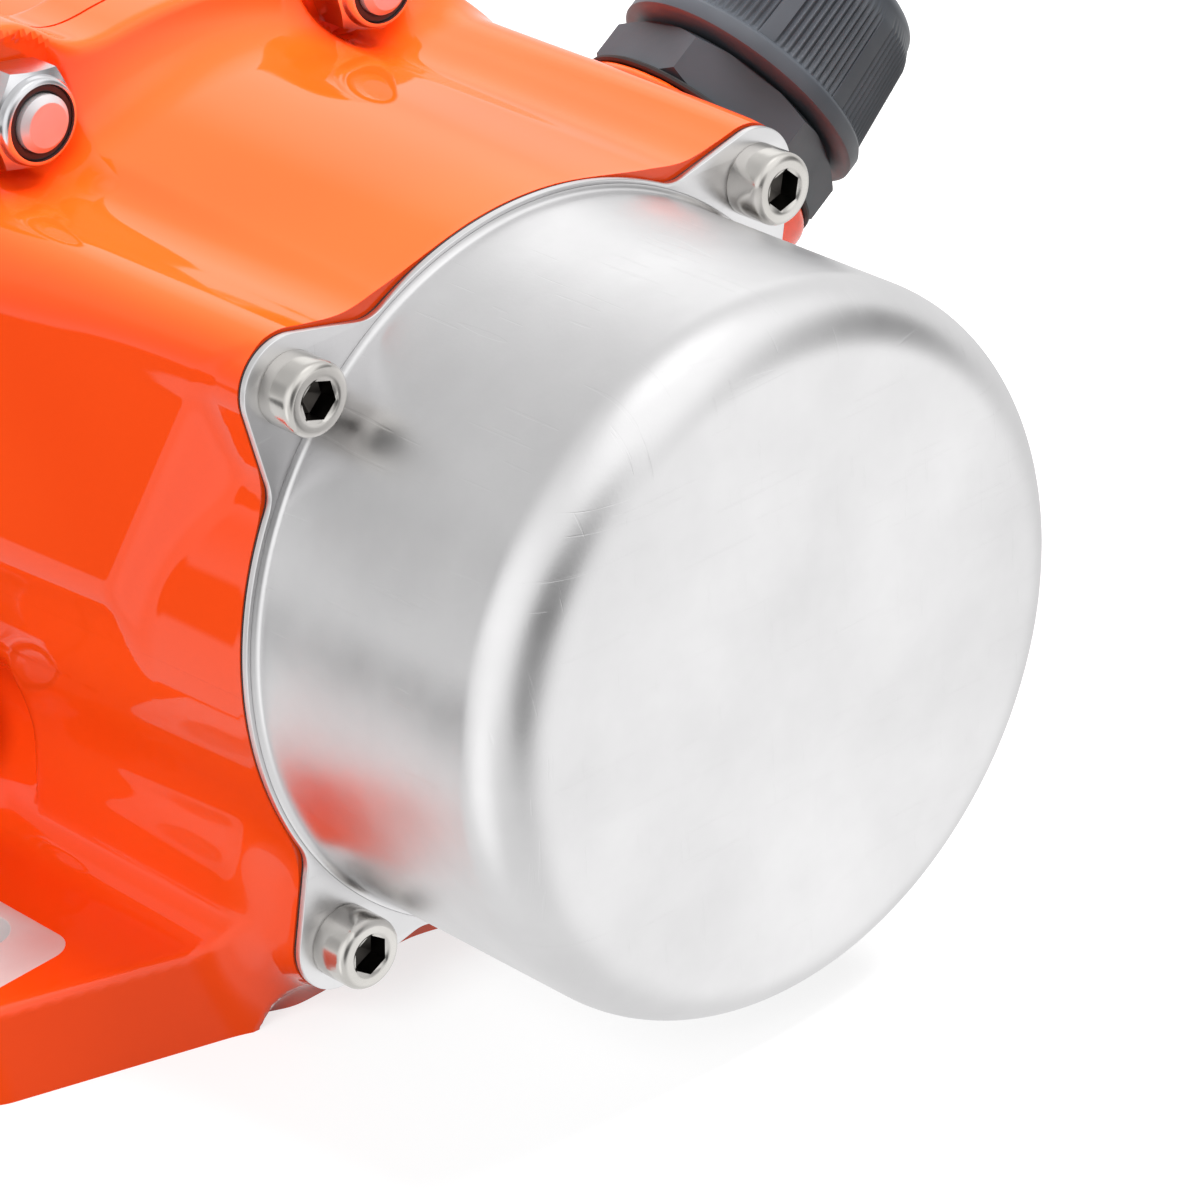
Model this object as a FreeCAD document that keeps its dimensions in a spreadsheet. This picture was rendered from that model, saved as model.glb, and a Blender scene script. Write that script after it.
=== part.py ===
import FreeCAD, Part
import math
import os
import re
import Sketcher

Vector = FreeCAD.Vector
Rotation = FreeCAD.Rotation

# Vibration motor. X runs to the right, Y to the rear, Z up, and the feet stand on Z = 0.
# The two housing halves meet on Y = 0 and the shaft lies along Y at axis_height.
SIZES = {
    "axis_height": 53.0,
    "fit": 0.05,
    "air": 0.3,
    "overrun": 1.0,
    # housing halves
    "half_length": 74.0,
    "barrel_front": 51.0,
    "barrel_back": 53.2,
    "lip_radius": 60.0,
    "lip_depth": 8.0,
    "lobe_radius": 11.0,
    "recess_radius": 43.0,
    "web_outside": 62.0,
    "web_inside": 44.0,
    "stator_step": 40.5,
    "joint_thick": 0.5,
    # ears and cap screws
    "screw_span": 80.0,
    "ear_tip": 7.0,
    "ear_angle": 32.2,
    "ear_flank": 15.0,
    "blend_radius": 12.0,
    "screw_radius": 3.0,
    "screw_length": 14.0,
    "screw_head": 5.0,
    "screw_head_height": 6.0,
    "screw_key": 5.0,
    "screw_key_depth": 3.0,
    "screw_edge": 0.9,
    "screw_end_gap": 2.0,
    # drawn end caps
    "sheet": 1.0,
    "cap_gasket": 1.0,
    "cap_radius": 49.5,
    "cap_depth": 46.5,
    "cap_corner": 8.5,
    # joint bolts
    "bolt_radius": 4.0,
    "bolt_clearance": 0.3,
    "bolt_flats": 13.0,
    "bolt_head_height": 5.3,
    "nut_height": 8.0,
    "nut_collar": 6.1,
    "insert_radius": 5.2,
    "insert_height": 1.6,
    "bolt_proud": 1.2,
    "bolt_chamfer": 0.8,
    "bolt_thread": 0.85,
    "crown_height": 1.2,
    "crown_inset": 0.5,
    "upper_bolt_side": 29.4,
    "upper_bolt_rise": 55.0,
    "lower_bolt_side": 57.0,
    "lower_bolt_drop": 25.0,
    # side walls
    "side_middle": 53.7,
    "side_flare": 0.068,
    "side_lean": 0.179,
    "side_bottom": 12.5,
    "side_top": 41.0,
    "side_start": 9.0,
    "side_start_low": 22.0,
    "side_band": 9.5,
    "side_band_front": 1.9,
    # feet
    "foot_thick": 12.0,
    "foot_half_width": 86.0,
    "foot_root": 40.0,
    "foot_inner": 48.0,
    "foot_web": 46.8,
    "foot_web_drop": 24.0,
    "foot_front": 4.6,
    "foot_front_back": 23.0,
    "foot_fillet": 8.0,
    "slot_width": 9.0,
    "slot_length": 15.0,
    "slot_side": 70.0,
    "slot_pitch": 68.0,
    "seat_inner": 63.0,
    "seat_length": 31.0,
    "seat_depth": 0.4,
    # cable gland and its boss
    "gland_side": 68.9,
    "gland_rise": 22.3,
    "gland_place": 33.5,
    "gland_tilt": 32.7,
    "gland_roll": 16.4,
    "boss_radius": 21.0,
    "boss_length": 34.0,
    "boss_bore": 14.15,
    "boss_bore_run": 3.0,
    "washer_thick": 1.0,
    "gland_hex": 33.0,
    "gland_hex_height": 7.6,
    "gland_gap": 1.0,
    "gland_thread": 12.3,
    "gland_neck": 10.0,
    "gland_core": 17.0,
    "gland_tail": 10.0,
    "gland_tail_radius": 14.1,
    "gland_tail_chamfer": 1.0,
    "gland_bore": 9.5,
    "washer_inset": 1.0,
    "dome_collar": 19.3,
    "dome_collar_length": 3.2,
    "dome_root": 18.3,
    "dome_shoulder": 16.9,
    "dome_straight": 17.3,
    "dome_length": 23.0,
    "dome_mouth": 10.0,
    "dome_edge": 0.6,
    "dome_step": 0.5,
    "dome_crown": 2.0,
    "dome_crown_drop": 1.6,
    "dome_front_drop": 4.0,
    "dome_front_thick": 3.1,
    "seal_bore": 7.5,
    "seal_gap": 0.2,
    "seal_inset": 0.5,
    "seal_nose": 2.0,
    "seal_nose_drop": 1.0,
    # motor
    "stator_radius": 42.0,
    "stator_bore": 23.0,
    "stator_half": 28.0,
    "winding_outer": 38.5,
    "winding_inner": 25.5,
    "winding_reach": 13.0,
    "winding_inner_edge": 3.0,
    "winding_outer_edge": 4.0,
    "rotor_gap": 0.4,
    "ring_reach": 6.0,
    "ring_radius": 21.5,
    "ring_inset": 3.0,
    "shaft_radius": 10.0,
    "journal_radius": 8.5,
    "shaft_half": 109.0,
    "shaft_chamfer": 1.0,
    # ball bearings
    "bearing_start": 48.0,
    "bearing_outer": 20.0,
    "bearing_width": 12.0,
    "race_wall": 3.1,
    "ball_radius": 3.3,
    "ball_pitch": 14.25,
    "ball_count": 8,
    "groove_play": 0.12,
    "cage_wall": 1.2,
    "cage_width": 8.4,
    "ring_thick": 1.75,
    "circlip_depth": 1.2,
    "circlip_reach": 2.5,
    "circlip_gap": 6.0,
    "sleeve_wall": 3.0,
    # eccentric weights
    "weight_start": 70.0,
    "weight_thick": 16.0,
    "weight_radius": 38.0,
    "weight_hub": 15.0,
    "weight_rise": 21.5,
    "weight_gap": 0.5,
    "slit_width": 2.0,
    "clamp_rise": 15.0,
    "clamp_radius": 3.0,
    "clamp_head": 5.0,
    "clamp_head_height": 6.0,
    "clamp_hole_end": 2.0,
    "clamp_end_gap": 3.0,
    "key_width": 5.0,
    "key_height": 5.0,
    "end_washer": 1.5,
    "end_washer_wall": 4.0,
    "end_ring": 1.0,
    "end_ring_wall": 2.5,
    "end_ring_gap": 5.0,
    "end_groove": 0.6,
    # supply leads
    "lead_radius": 1.2,
    "lead_spacing": 3.5,
    "lead_reach": 1.5,
    "splice_radius": 1.7,
    "splice_length": 10.0,
    "splice_place": 14.0,
}

NEAR = 0.02        # how close an edge's place must be for a fillet to pick it
FLAT = 1e-6        # how far out of plane four corners may stand
RIB_SHARE = 0.9    # the share of the half's length that a rib's root line covers
GUESS_OUT = 2.0    # where the round of first guesses for a sketch's corners stands

doc = FreeCAD.newDocument("vibration_motor")
sheet = doc.addObject("Spreadsheet::Sheet", "sizes")
for row, (alias, number) in enumerate(SIZES.items(), start=1):
    sheet.set(f"A{row}", alias)
    sheet.set(f"B{row}", str(number))
    sheet.setAlias(f"B{row}", alias)
doc.recompute()

WORD = re.compile(r"\b(" + "|".join(SIZES) + r")\b")
used_names = {}


def size(alias):
    return float(sheet.get(alias))


def bound(text):
    """Turns size names into references to the sheet's cells."""
    return WORD.sub(lambda found: "sizes." + found.group(1), text)


def fresh(name):
    used_names[name] = used_names.get(name, 0) + 1
    return name if used_names[name] == 1 else f"{name}_{used_names[name]}"


def bind(thing, prop, text):
    thing.setExpression(prop, bound(text))


TURNS = {
    "x": Rotation(Vector(0, 1, 0), 90),
    "y": Rotation(Vector(1, 0, 0), -90),
    "z": Rotation(),
}


def put(thing, place, turn=None):
    """Places a thing at bound x, y and z, turned as asked."""
    if turn is not None:
        thing.Placement = FreeCAD.Placement(Vector(), turn)
    for letter, text in zip("xyz", place):
        bind(thing, f"Placement.Base.{letter}", text)


def cylinder(name, radius, height, place, along="y"):
    thing = doc.addObject("Part::Cylinder", fresh(name))
    bind(thing, "Radius", radius)
    bind(thing, "Height", height)
    put(thing, place, TURNS[along])
    return thing


def cone(name, radius, far_radius, height, place, along="y"):
    thing = doc.addObject("Part::Cone", fresh(name))
    bind(thing, "Radius1", radius)
    bind(thing, "Radius2", far_radius)
    bind(thing, "Height", height)
    put(thing, place, TURNS[along])
    return thing


def box(name, lengths, place):
    thing = doc.addObject("Part::Box", fresh(name))
    for prop, text in zip(("Length", "Width", "Height"), lengths):
        bind(thing, prop, text)
    put(thing, place)
    return thing


def hexagon(name, flats, height, place, along="y"):
    """A six-sided prism, given its width across flats."""
    thing = doc.addObject("Part::Prism", fresh(name))
    thing.Polygon = 6
    bind(thing, "Circumradius", f"({flats}) / sqrt(3)")
    bind(thing, "Height", height)
    put(thing, place, TURNS[along])
    return thing


def fuse(name, things):
    thing = doc.addObject("Part::MultiFuse", fresh(name))
    thing.Shapes = things
    thing.Refine = True
    return thing


def cut(name, base, tools):
    tool = tools[0] if len(tools) == 1 else fuse(name + "_tools", tools)
    thing = doc.addObject("Part::Cut", fresh(name))
    thing.Base = base
    thing.Tool = tool
    return thing


def common(name, base, tool):
    thing = doc.addObject("Part::Common", fresh(name))
    thing.Base = base
    thing.Tool = tool
    return thing


def group(name, things):
    thing = doc.addObject("Part::Compound", fresh(name))
    thing.Links = things
    return thing


def mirrored(name, thing):
    """The same thing on the other side of the joint plane."""
    other = doc.addObject("Part::Mirroring", fresh(name))
    other.Source = thing
    other.Normal = Vector(0, 1, 0)
    return other


def solid(name, shape, place=None):
    thing = doc.addObject("Part::Feature", fresh(name))
    thing.Shape = shape
    if place is not None:
        thing.Placement = place
    return thing


def turned(name, points, place, turn=None):
    """A body turned about its own X or Y line, from (along, out) pairs of bound texts."""
    body = doc.addObject("PartDesign::Body", fresh(name))
    sketch = body.newObject("Sketcher::SketchObject", fresh(name + "_profile"))
    role = "XY_Plane" if turn is not None else "YZ_Plane"
    plane = [one for one in body.Origin.OriginFeatures if one.Role == role][0]
    sketch.AttachmentSupport = [(plane, "")]
    sketch.MapMode = "FlatFace"
    count = len(points)
    angles = [math.tau * step / count for step in range(count)]
    guess = [Vector(math.cos(angle), GUESS_OUT + math.sin(angle), 0) for angle in angles]
    for number in range(count):
        line = Part.LineSegment(guess[number], guess[(number + 1) % count])
        sketch.addGeometry(line, False)
    for number in range(count):
        joined = Sketcher.Constraint("Coincident", number, 2, (number + 1) % count, 1)
        sketch.addConstraint(joined)
    for number, (along, out) in enumerate(points):
        pin(sketch, number, "DistanceX", along)
        pin(sketch, number, "DistanceY", out)
    doc.recompute()
    spin = body.newObject("PartDesign::Revolution", fresh(name + "_turn"))
    spin.Profile = sketch
    spin.ReferenceAxis = (sketch, ["H_Axis"])
    spin.Angle = 360.0
    body.Tip = spin
    doc.recompute()
    put(body, place, turn)
    return body


def pin(sketch, number, kind, text):
    """Fixes the first end of a line at a bound distance from the sketch's origin."""
    if text == "0":
        axis = -2 if kind == "DistanceX" else -1
        sketch.addConstraint(Sketcher.Constraint("PointOnObject", number, 1, axis))
        return
    made = sketch.addConstraint(Sketcher.Constraint(kind, -1, 1, number, 1, 1.0))
    sketch.setExpression(f"Constraints[{made}]", bound(text))


def ring_at(along, radius, letter="y"):
    """Accepts full circles of one radius at one place along the axis."""
    def accept(edge):
        curve = edge.Curve
        if not hasattr(curve, "Radius"):
            return False
        centre = getattr(curve.Center, letter)
        return abs(curve.Radius - radius) < NEAR and abs(centre - along) < NEAR
    return accept


ON_AXIS = ("0", "0", "axis_height")
GLAND_TURN = Rotation(Vector(0, 1, 0), -size("gland_tilt"))
GLAND_BASE = ("gland_side", "-gland_place", "axis_height + gland_rise")
CORNERS = [(side, rise) for side in (-1, 1) for rise in (-1, 1)]
NODES = {}


def keep(name, thing):
    """Makes a thing one of the written nodes."""
    thing.Label = name
    NODES[name] = thing
    return thing


def side_plane(y, z):
    """How far out the side wall stands, for a place y behind the cap and z above the shaft."""
    return size("side_middle") + size("side_flare") * y - size("side_lean") * z


def face_of(points):
    return Part.Face(Part.makePolygon(points + [points[0]]))


def hull_between(lower, upper):
    """A solid between two outlines with the same number of points."""
    faces = [face_of(lower), face_of(upper)]
    for number in range(len(lower)):
        after = (number + 1) % len(lower)
        corner = [lower[number], lower[after], upper[after], upper[number]]
        faces.append(Part.makeFilledFace(face_edges(corner)) if bent(corner) else face_of(corner))
    return Part.Solid(Part.Shell(Part.makeCompound(faces).Faces))


def face_edges(corner):
    return Part.makePolygon(corner + [corner[0]]).Edges


def bent(corner):
    first = (corner[1] - corner[0]).cross(corner[2] - corner[0])
    return abs(first.normalize().dot(corner[3] - corner[0])) > FLAT


def ear_outline(side, rise, y, grow):
    """The ear's straight flanks and round tip, as a face across the shaft, grown by a margin."""
    distance = size("screw_span") / 2 * math.sqrt(2)
    lean = math.radians(size("ear_angle"))
    tip = size("ear_tip") + grow
    reach = size("ear_flank")
    along = Vector(side, 0, rise).normalize()
    across = Vector(-rise, 0, side).normalize()
    centre = along * distance

    def spot(sign, back):
        u = tip * math.sin(lean) - back * math.cos(lean)
        v = tip * math.cos(lean) + back * math.sin(lean)
        return centre + along * u + across * (sign * v) + Vector(0, y, 0)

    top = centre + along * tip + Vector(0, y, 0)
    arc = Part.Arc(spot(1, 0), top, spot(-1, 0)).toShape()
    lines = Part.makePolygon([spot(-1, 0), spot(-1, reach), spot(1, reach), spot(1, 0)])
    return Part.Face(Part.Wire([arc] + lines.Edges))


def ears(name, start, length, grow=0.0):
    """The four ears, as blocks along the shaft."""
    blocks = []
    for side, rise in CORNERS:
        block = ear_outline(side, rise, start, grow).extrude(Vector(0, length, 0))
        thing = solid(f"{name}_ear", block)
        bind(thing, "Placement.Base.z", "axis_height")
        blocks.append(thing)
    return blocks


def side_wall(side):
    """The flat, flared wall on one side of the front half, with its sloping band."""
    back = size("half_length") + size("cap_gasket") + size("sheet")
    stop = back - size("lip_depth")
    rear = stop + size("lip_depth") / 2
    band = size("side_band")
    low = size("side_bottom")
    top = size("side_top")
    start = size("side_start")
    start_low = size("side_start_low")
    outline = [(start, top), (start_low, low), (rear, low), (rear, top)]
    wide = [(start - size("side_band_front"), top), (start_low - band, low - band),
            (rear, low - band), (rear, top)]
    outer = [Vector(side * side_plane(y, z), y - back, z) for y, z in outline]
    inner = [Vector(side * (side_plane(y, z) - band), y - back, z) for y, z in wide]
    thing = solid("side_wall", hull_between(outer, inner))
    bind(thing, "Placement.Base.z", "axis_height")
    return thing


def foot(side):
    """One foot of the front half, with its swept front edge and a thinner root."""
    root = size("foot_root")
    far = size("foot_half_width")
    thick = size("foot_thick")
    back = size("half_length") + size("cap_gasket") + size("sheet")
    front = size("foot_front") - back
    swept = size("foot_front_back") - back
    rear = -size("joint_thick") / 2
    web = size("foot_web")
    web_top = size("axis_height") - size("foot_web_drop")
    section = [(root, web_top), (web, web_top), (web, thick), (far, thick), (far, 0),
               (size("foot_inner"), 0), (root, thick / 2)]
    block = face_of([Vector(side * x, front, z) for x, z in section]).extrude(Vector(0, rear - front, 0))
    past = size("overrun")
    ahead = [Vector(side * root, front, -past), Vector(side * (far + past), swept, -past),
             Vector(side * (far + past), front - past, -past), Vector(side * root, front - past, -past)]
    block = block.cut(face_of(ahead).extrude(Vector(0, 0, 2 * thick + web_top)))
    corner = [edge for edge in block.Edges if abs(edge.CenterOfMass.x) > far - NEAR
              and abs(edge.CenterOfMass.z - thick / 2) < NEAR and edge.CenterOfMass.y < swept + past]
    return solid("foot", block.makeFillet(size("foot_fillet"), corner))


def boss():
    """The round boss that carries the cable gland."""
    thing = doc.addObject("Part::Cylinder", fresh("boss"))
    bind(thing, "Radius", "boss_radius")
    bind(thing, "Height", "boss_length")
    place_on_gland(thing, "-boss_length", 0.0)
    return thing


def bolt_spots():
    upper = [(f"{side} * upper_bolt_side", "axis_height + upper_bolt_rise") for side in (-1, 1)]
    lower = [(f"{side} * lower_bolt_side", "axis_height - lower_bolt_drop") for side in (-1, 1)]
    return upper + lower


def screw_spots():
    return [(f"{side} * screw_span / 2", f"axis_height + {rise} * screw_span / 2")
            for side, rise in CORNERS]


def housing(name, with_gland):
    """The front half of the housing, as cast, then bored and drilled."""
    face = "-half_length"
    joint = "-joint_thick / 2"
    lip = "lip_depth - joint_thick / 2"
    barrel = cone("barrel", "barrel_front", "barrel_back", "half_length - joint_thick / 2",
                  ("0", face, "axis_height"))
    ribs = ears("rib", -size("half_length"), size("half_length") - size("joint_thick") / 2)
    ribbed = fuse(f"{name}_ribbed", [barrel] + ribs)
    doc.recompute()
    outside = [rounded(ribbed, size("blend_radius"), inner_corner)]
    outside.append(cylinder("lip", "lip_radius", lip, ("0", "-lip_depth", "axis_height")))
    for across, up in bolt_spots():
        outside.append(cylinder("lobe", "lobe_radius", lip, (across, "-lip_depth", up)))
    outside += [side_wall(side) for side in (-1, 1)]
    outside += [foot(side) for side in (-1, 1)]
    if with_gland:
        outside.append(boss())
    cast = fuse(f"{name}_cast", outside)
    holes = [
        cylinder("stator_seat", "stator_radius + fit", "stator_half + fit",
                 ("0", "-stator_half - fit", "axis_height")),
        cylinder("winding_room", "stator_step", "web_inside", ("0", "-web_inside", "axis_height")),
        cylinder("shaft_way", "bearing_outer - race_wall", "half_length",
                 ("0", "-half_length", "axis_height")),
        cylinder("bearing_seat", "bearing_outer + fit / 2", "half_length - bearing_start",
                 ("0", "-half_length", "axis_height")),
        cylinder("ring_groove", "bearing_outer + circlip_depth", "ring_thick + fit",
                 ("0", "-bearing_start - bearing_width - ring_thick - fit", "axis_height")),
        cylinder("weight_room", "recess_radius", "half_length - web_outside",
                 ("0", "-half_length", "axis_height")),
        box("under", ("4 * foot_half_width", "4 * half_length", "2 * axis_height"),
            ("-2 * foot_half_width", "-2 * half_length", "-2 * axis_height")),
    ]
    for across, up in screw_spots():
        holes.append(cylinder("screw_hole", "screw_radius + fit", "screw_length",
                              (across, face, up)))
    for across, up in bolt_spots():
        holes.append(cylinder("bolt_hole", "bolt_radius + bolt_clearance", "2 * lip_depth",
                              (across, "-1.5 * lip_depth", up)))
    for side in (-1, 1):
        holes += foot_cuts(side)
    if with_gland:
        bore = doc.addObject("Part::Cylinder", fresh("gland_hole"))
        bind(bore, "Radius", "boss_bore")
        bind(bore, "Height", "boss_length + boss_bore_run + 2 * overrun")
        place_on_gland(bore, "-boss_length - boss_bore_run", 0.0)
        holes.append(bore)
    return cut(name, cast, holes)


def inner_corner(edge):
    """Accepts the lines where the ribs meet the barrel."""
    box = edge.BoundBox
    along = box.YLength > RIB_SHARE * size("half_length")
    middle = edge.CenterOfMass - Vector(0, 0, size("axis_height"))
    return along and math.hypot(middle.x, middle.z) < size("barrel_back") + size("joint_thick")


def foot_cuts(side):
    """The slot in a foot and the milled seat round it."""
    half = "(slot_length - slot_width) / 2"
    middle = "-slot_pitch / 2"
    across = f"{side} * slot_side"
    ends = [cylinder("slot_end", "slot_width / 2", "2 * foot_thick",
                     (across, f"{middle} + {sign} * {half}", "-foot_thick / 2"), "z")
            for sign in (-1, 1)]
    slot = box("slot_middle", ("slot_width", f"2 * {half}", "2 * foot_thick"),
               (f"{across} - slot_width / 2", f"{middle} - {half}", "-foot_thick / 2"))
    start = "seat_inner" if side > 0 else "-seat_inner - foot_half_width"
    seat = box("seat", ("foot_half_width", "seat_length", "foot_thick"),
               (start, f"{middle} - seat_length / 2", "foot_thick - seat_depth"))
    return ends + [slot, seat]


def end_cap(name):
    """The drawn cap: a deep cup with a flat flange that ends in four ears."""
    front = "-half_length - cap_gasket - cap_depth - sheet"
    flange = "-half_length - cap_gasket"
    outer = cylinder("cup", "cap_radius", "cap_depth + sheet", ("0", front, "axis_height"))
    room = cylinder("cup_room", "cap_radius - sheet", "cap_depth",
                    ("0", f"{front} + sheet", "axis_height"))
    doc.recompute()
    outer_round = rounded(outer, size("cap_corner"), ring_at(front_of_cap(), size("cap_radius")))
    room_round = rounded(room, size("cap_corner") - size("sheet"),
                         ring_at(front_of_cap() + size("sheet"), size("cap_radius") - size("sheet")))
    plate = cylinder("cap_flange", "barrel_front", "sheet", ("0", f"{flange} - sheet", "axis_height"))
    blocks = ears("cap", -size("half_length") - size("cap_gasket") - size("sheet"), size("sheet"))
    whole = fuse(f"{name}_drawn", [outer_round, plate] + blocks)
    holes = [room_round]
    for across, up in screw_spots():
        holes.append(cylinder("ear_hole", "screw_radius + air", "3 * sheet",
                              (across, f"{flange} - 2 * sheet", up)))
    return cut(name, whole, holes)


def front_of_cap():
    return -size("half_length") - size("cap_gasket") - size("cap_depth") - size("sheet")


def rounded(thing, radius, chosen):
    """A Part fillet on the edges that chosen accepts."""
    fillet = doc.addObject("Part::Fillet", fresh(thing.Name + "_round"))
    fillet.Base = thing
    fillet.Edges = [(number + 1, radius, radius)
                    for number, edge in enumerate(thing.Shape.Edges) if chosen(edge)]
    return fillet


def cap_gasket(name):
    face = "-half_length - cap_gasket"
    plate = cylinder("gasket_ring", "barrel_front", "cap_gasket", ("0", face, "axis_height"))
    blocks = ears("gasket", -size("half_length") - size("cap_gasket"), size("cap_gasket"))
    holes = [cylinder("gasket_room", "cap_radius - sheet", "3 * cap_gasket",
                      ("0", f"{face} - cap_gasket", "axis_height"))]
    for across, up in screw_spots():
        holes.append(cylinder("gasket_hole", "screw_radius + air", "3 * cap_gasket",
                              (across, f"{face} - cap_gasket", up)))
    return cut(name, fuse(f"{name}_sheet", [plate] + blocks), holes)


def socket_screw(name, across, up):
    """A socket head cap screw along Y with its head to the front."""
    seat = "-half_length - cap_gasket - sheet"
    head = cylinder("head", "screw_head", "screw_head_height",
                    (across, f"{seat} - screw_head_height", up))
    doc.recompute()
    front = -size("half_length") - size("cap_gasket") - size("sheet") - size("screw_head_height")
    head = rounded(head, size("screw_edge"), ring_at(front, size("screw_head")))
    shank = cylinder("shank", "screw_radius", "screw_length - screw_end_gap + cap_gasket + sheet",
                     (across, seat, up))
    key = hexagon("key", "screw_key", "screw_key_depth + overrun",
                  (across, f"{seat} - screw_head_height - overrun", up))
    return cut(name, fuse("screw_blank", [head, shank]), [key])


def chamfered_hexagon(name, flats, height, place, seat_first):
    """A hexagon along Y whose free end is turned to a shallow cone."""
    prism = hexagon(name, flats, height, place)
    wide = f"({flats}) / sqrt(3)"
    x, y, z = place
    skirt = f"({height}) - crown_height"
    narrow = f"({flats}) / 2 - crown_inset"
    if seat_first:
        plain = cylinder("crown_base", wide, skirt, (x, y, z))
        crown = cone("crown", wide, narrow, "crown_height", (x, f"{y} + {skirt}", z))
    else:
        crown = cone("crown", narrow, wide, "crown_height", (x, y, z))
        plain = cylinder("crown_base", wide, skirt, (x, f"{y} + crown_height", z))
    return common(f"{name}_crowned", prism, fuse("crown_blank", [plain, crown]))


def flange_bolt(across, up):
    """A hexagon head bolt put in from the rear half."""
    head = chamfered_hexagon("bolt_head", "bolt_flats", "bolt_head_height",
                             (across, "lip_depth", up), True)
    far = "-lip_depth - nut_height - bolt_proud"
    shank = cylinder("bolt_shank", "bolt_radius",
                     "2 * lip_depth + nut_height + bolt_proud - bolt_chamfer",
                     (across, f"{far} + bolt_chamfer", up))
    tip = cone("bolt_tip", "bolt_radius - bolt_thread", "bolt_radius", "bolt_chamfer",
               (across, far, up))
    return fuse("flange_bolt", [head, shank, tip])


def lock_nut(across, up):
    """A hexagon nut with the round collar that holds its insert."""
    body = chamfered_hexagon("nut_body", "bolt_flats", "nut_height - insert_height",
                             (across, "-lip_depth - nut_height + insert_height", up), False)
    collar = cylinder("nut_collar", "nut_collar", "2 * insert_height",
                      (across, "-lip_depth - nut_height", up))
    front = "-lip_depth - nut_height - overrun"
    thread = cylinder("nut_thread", "bolt_radius + fit", "nut_height + 2 * overrun",
                      (across, front, up))
    room = cylinder("insert_room", "insert_radius", "insert_height + overrun", (across, front, up))
    return cut("lock_nut", fuse("nut_blank", [body, collar]), [thread, room])


def nut_insert(across, up):
    start = "-lip_depth - nut_height + air"
    ring = cylinder("insert", "insert_radius", "insert_height - air", (across, start, up))
    hole = cylinder("insert_hole", "bolt_radius + fit", "insert_height", (across, start, up))
    return cut("nut_insert", ring, [hole])


def joint_gasket():
    """The flat gasket between the two halves."""
    back = "-joint_thick / 2"
    sheets = [cylinder("joint_disc", "lip_radius", "joint_thick", ("0", back, "axis_height"))]
    holes = [cylinder("joint_room", "stator_radius + fit", "3 * joint_thick",
                      ("0", "-1.5 * joint_thick", "axis_height")),
             box("joint_under", ("4 * foot_half_width", "4 * half_length", "2 * axis_height"),
                 ("-2 * foot_half_width", "-2 * half_length", "joint_thick - 2 * axis_height"))]
    for across, up in bolt_spots():
        sheets.append(cylinder("joint_lobe", "lobe_radius", "joint_thick", (across, back, up)))
        holes.append(cylinder("joint_hole", "bolt_radius + bolt_clearance", "3 * joint_thick",
                              (across, "-1.5 * joint_thick", up)))
    return cut("gasket_between", fuse("joint_sheet", sheets), holes)


def tube(name, outer, inner, length, start):
    """A plain ring round the shaft's axis."""
    whole = cylinder(f"{name}_outside", outer, length, ("0", start, "axis_height"))
    hole = cylinder(f"{name}_inside", inner, f"({length}) + 2 * overrun",
                    ("0", f"{start} - overrun", "axis_height"))
    return cut(name, whole, [hole])


def split_tube(name, outer, inner, length, start, gap):
    """A retaining ring: a plain ring with a gap below."""
    ring = tube(name + "_whole", outer, inner, length, start)
    mouth = box("ring_gap", (gap, f"({length}) + 2 * overrun", f"2 * ({outer})"),
                (f"-({gap}) / 2", f"{start} - overrun", f"axis_height - 2 * ({outer})"))
    return cut(name, ring, [mouth])


def both_ends(name, thing):
    return group(name, [thing, mirrored(f"{name}_rear", thing)])


def winding():
    """One end turn of the stator winding."""
    far = "-stator_half - winding_reach"
    return turned("end_turns", [("-stator_half", "winding_inner"),
                                (f"{far} + winding_inner_edge", "winding_inner"),
                                (far, "winding_inner + winding_inner_edge"),
                                (far, "winding_outer - winding_outer_edge"),
                                (f"{far} + winding_outer_edge", "winding_outer"),
                                ("-stator_half", "winding_outer")], ON_AXIS)


def shaft():
    """The stepped shaft, with a keyway and a ring groove at each end."""
    groove = "weight_start + 2 * weight_thick + weight_gap + end_washer"
    half = [("bearing_start", "shaft_radius"), ("bearing_start", "journal_radius"),
            (groove, "journal_radius"), (groove, "journal_radius - end_groove"),
            (f"{groove} + end_ring + fit", "journal_radius - end_groove"),
            (f"{groove} + end_ring + fit", "journal_radius"),
            ("shaft_half - shaft_chamfer", "journal_radius"),
            ("shaft_half", "journal_radius - shaft_chamfer")]
    front = [(f"-({along})", out) for along, out in half]
    back = [(along, out) for along, out in reversed(half)]
    outline = front + [("-shaft_half", "0"), ("shaft_half", "0")] + back
    body = turned("turned_shaft", outline, ON_AXIS)
    return cut("shaft_blank", body, [key_room("key_way"), mirrored("key_way_rear", key_room("key_way"))])


def key_room(name, play="0"):
    """The space of one weight's key."""
    return box(name, (f"key_width + 2 * {play}", "weight_thick", "key_height + " + play),
               (f"-key_width / 2 - {play}", "-weight_start - weight_thick",
                "axis_height + journal_radius - key_height / 2"))


def bearing_ring(name, outer, inner):
    ring = tube(name + "_plain", outer, inner, "bearing_width", "-bearing_start - bearing_width")
    track = doc.addObject("Part::Torus", fresh("ball_track"))
    bind(track, "Radius1", "ball_pitch")
    bind(track, "Radius2", "ball_radius + groove_play")
    put(track, ("0", "-bearing_start - bearing_width / 2", "axis_height"), TURNS["y"])
    return cut(name, ring, [track])


def ball_angles():
    count = int(size("ball_count"))
    return [f"{step} * 360 / ball_count" for step in range(count)]


def balls():
    made = []
    for angle in ball_angles():
        ball = doc.addObject("Part::Sphere", fresh("ball"))
        bind(ball, "Radius", "ball_radius")
        put(ball, (f"ball_pitch * cos(({angle}) * 1 deg)", "-bearing_start - bearing_width / 2",
                   f"axis_height + ball_pitch * sin(({angle}) * 1 deg)"))
        made.append(ball)
    return made


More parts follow.
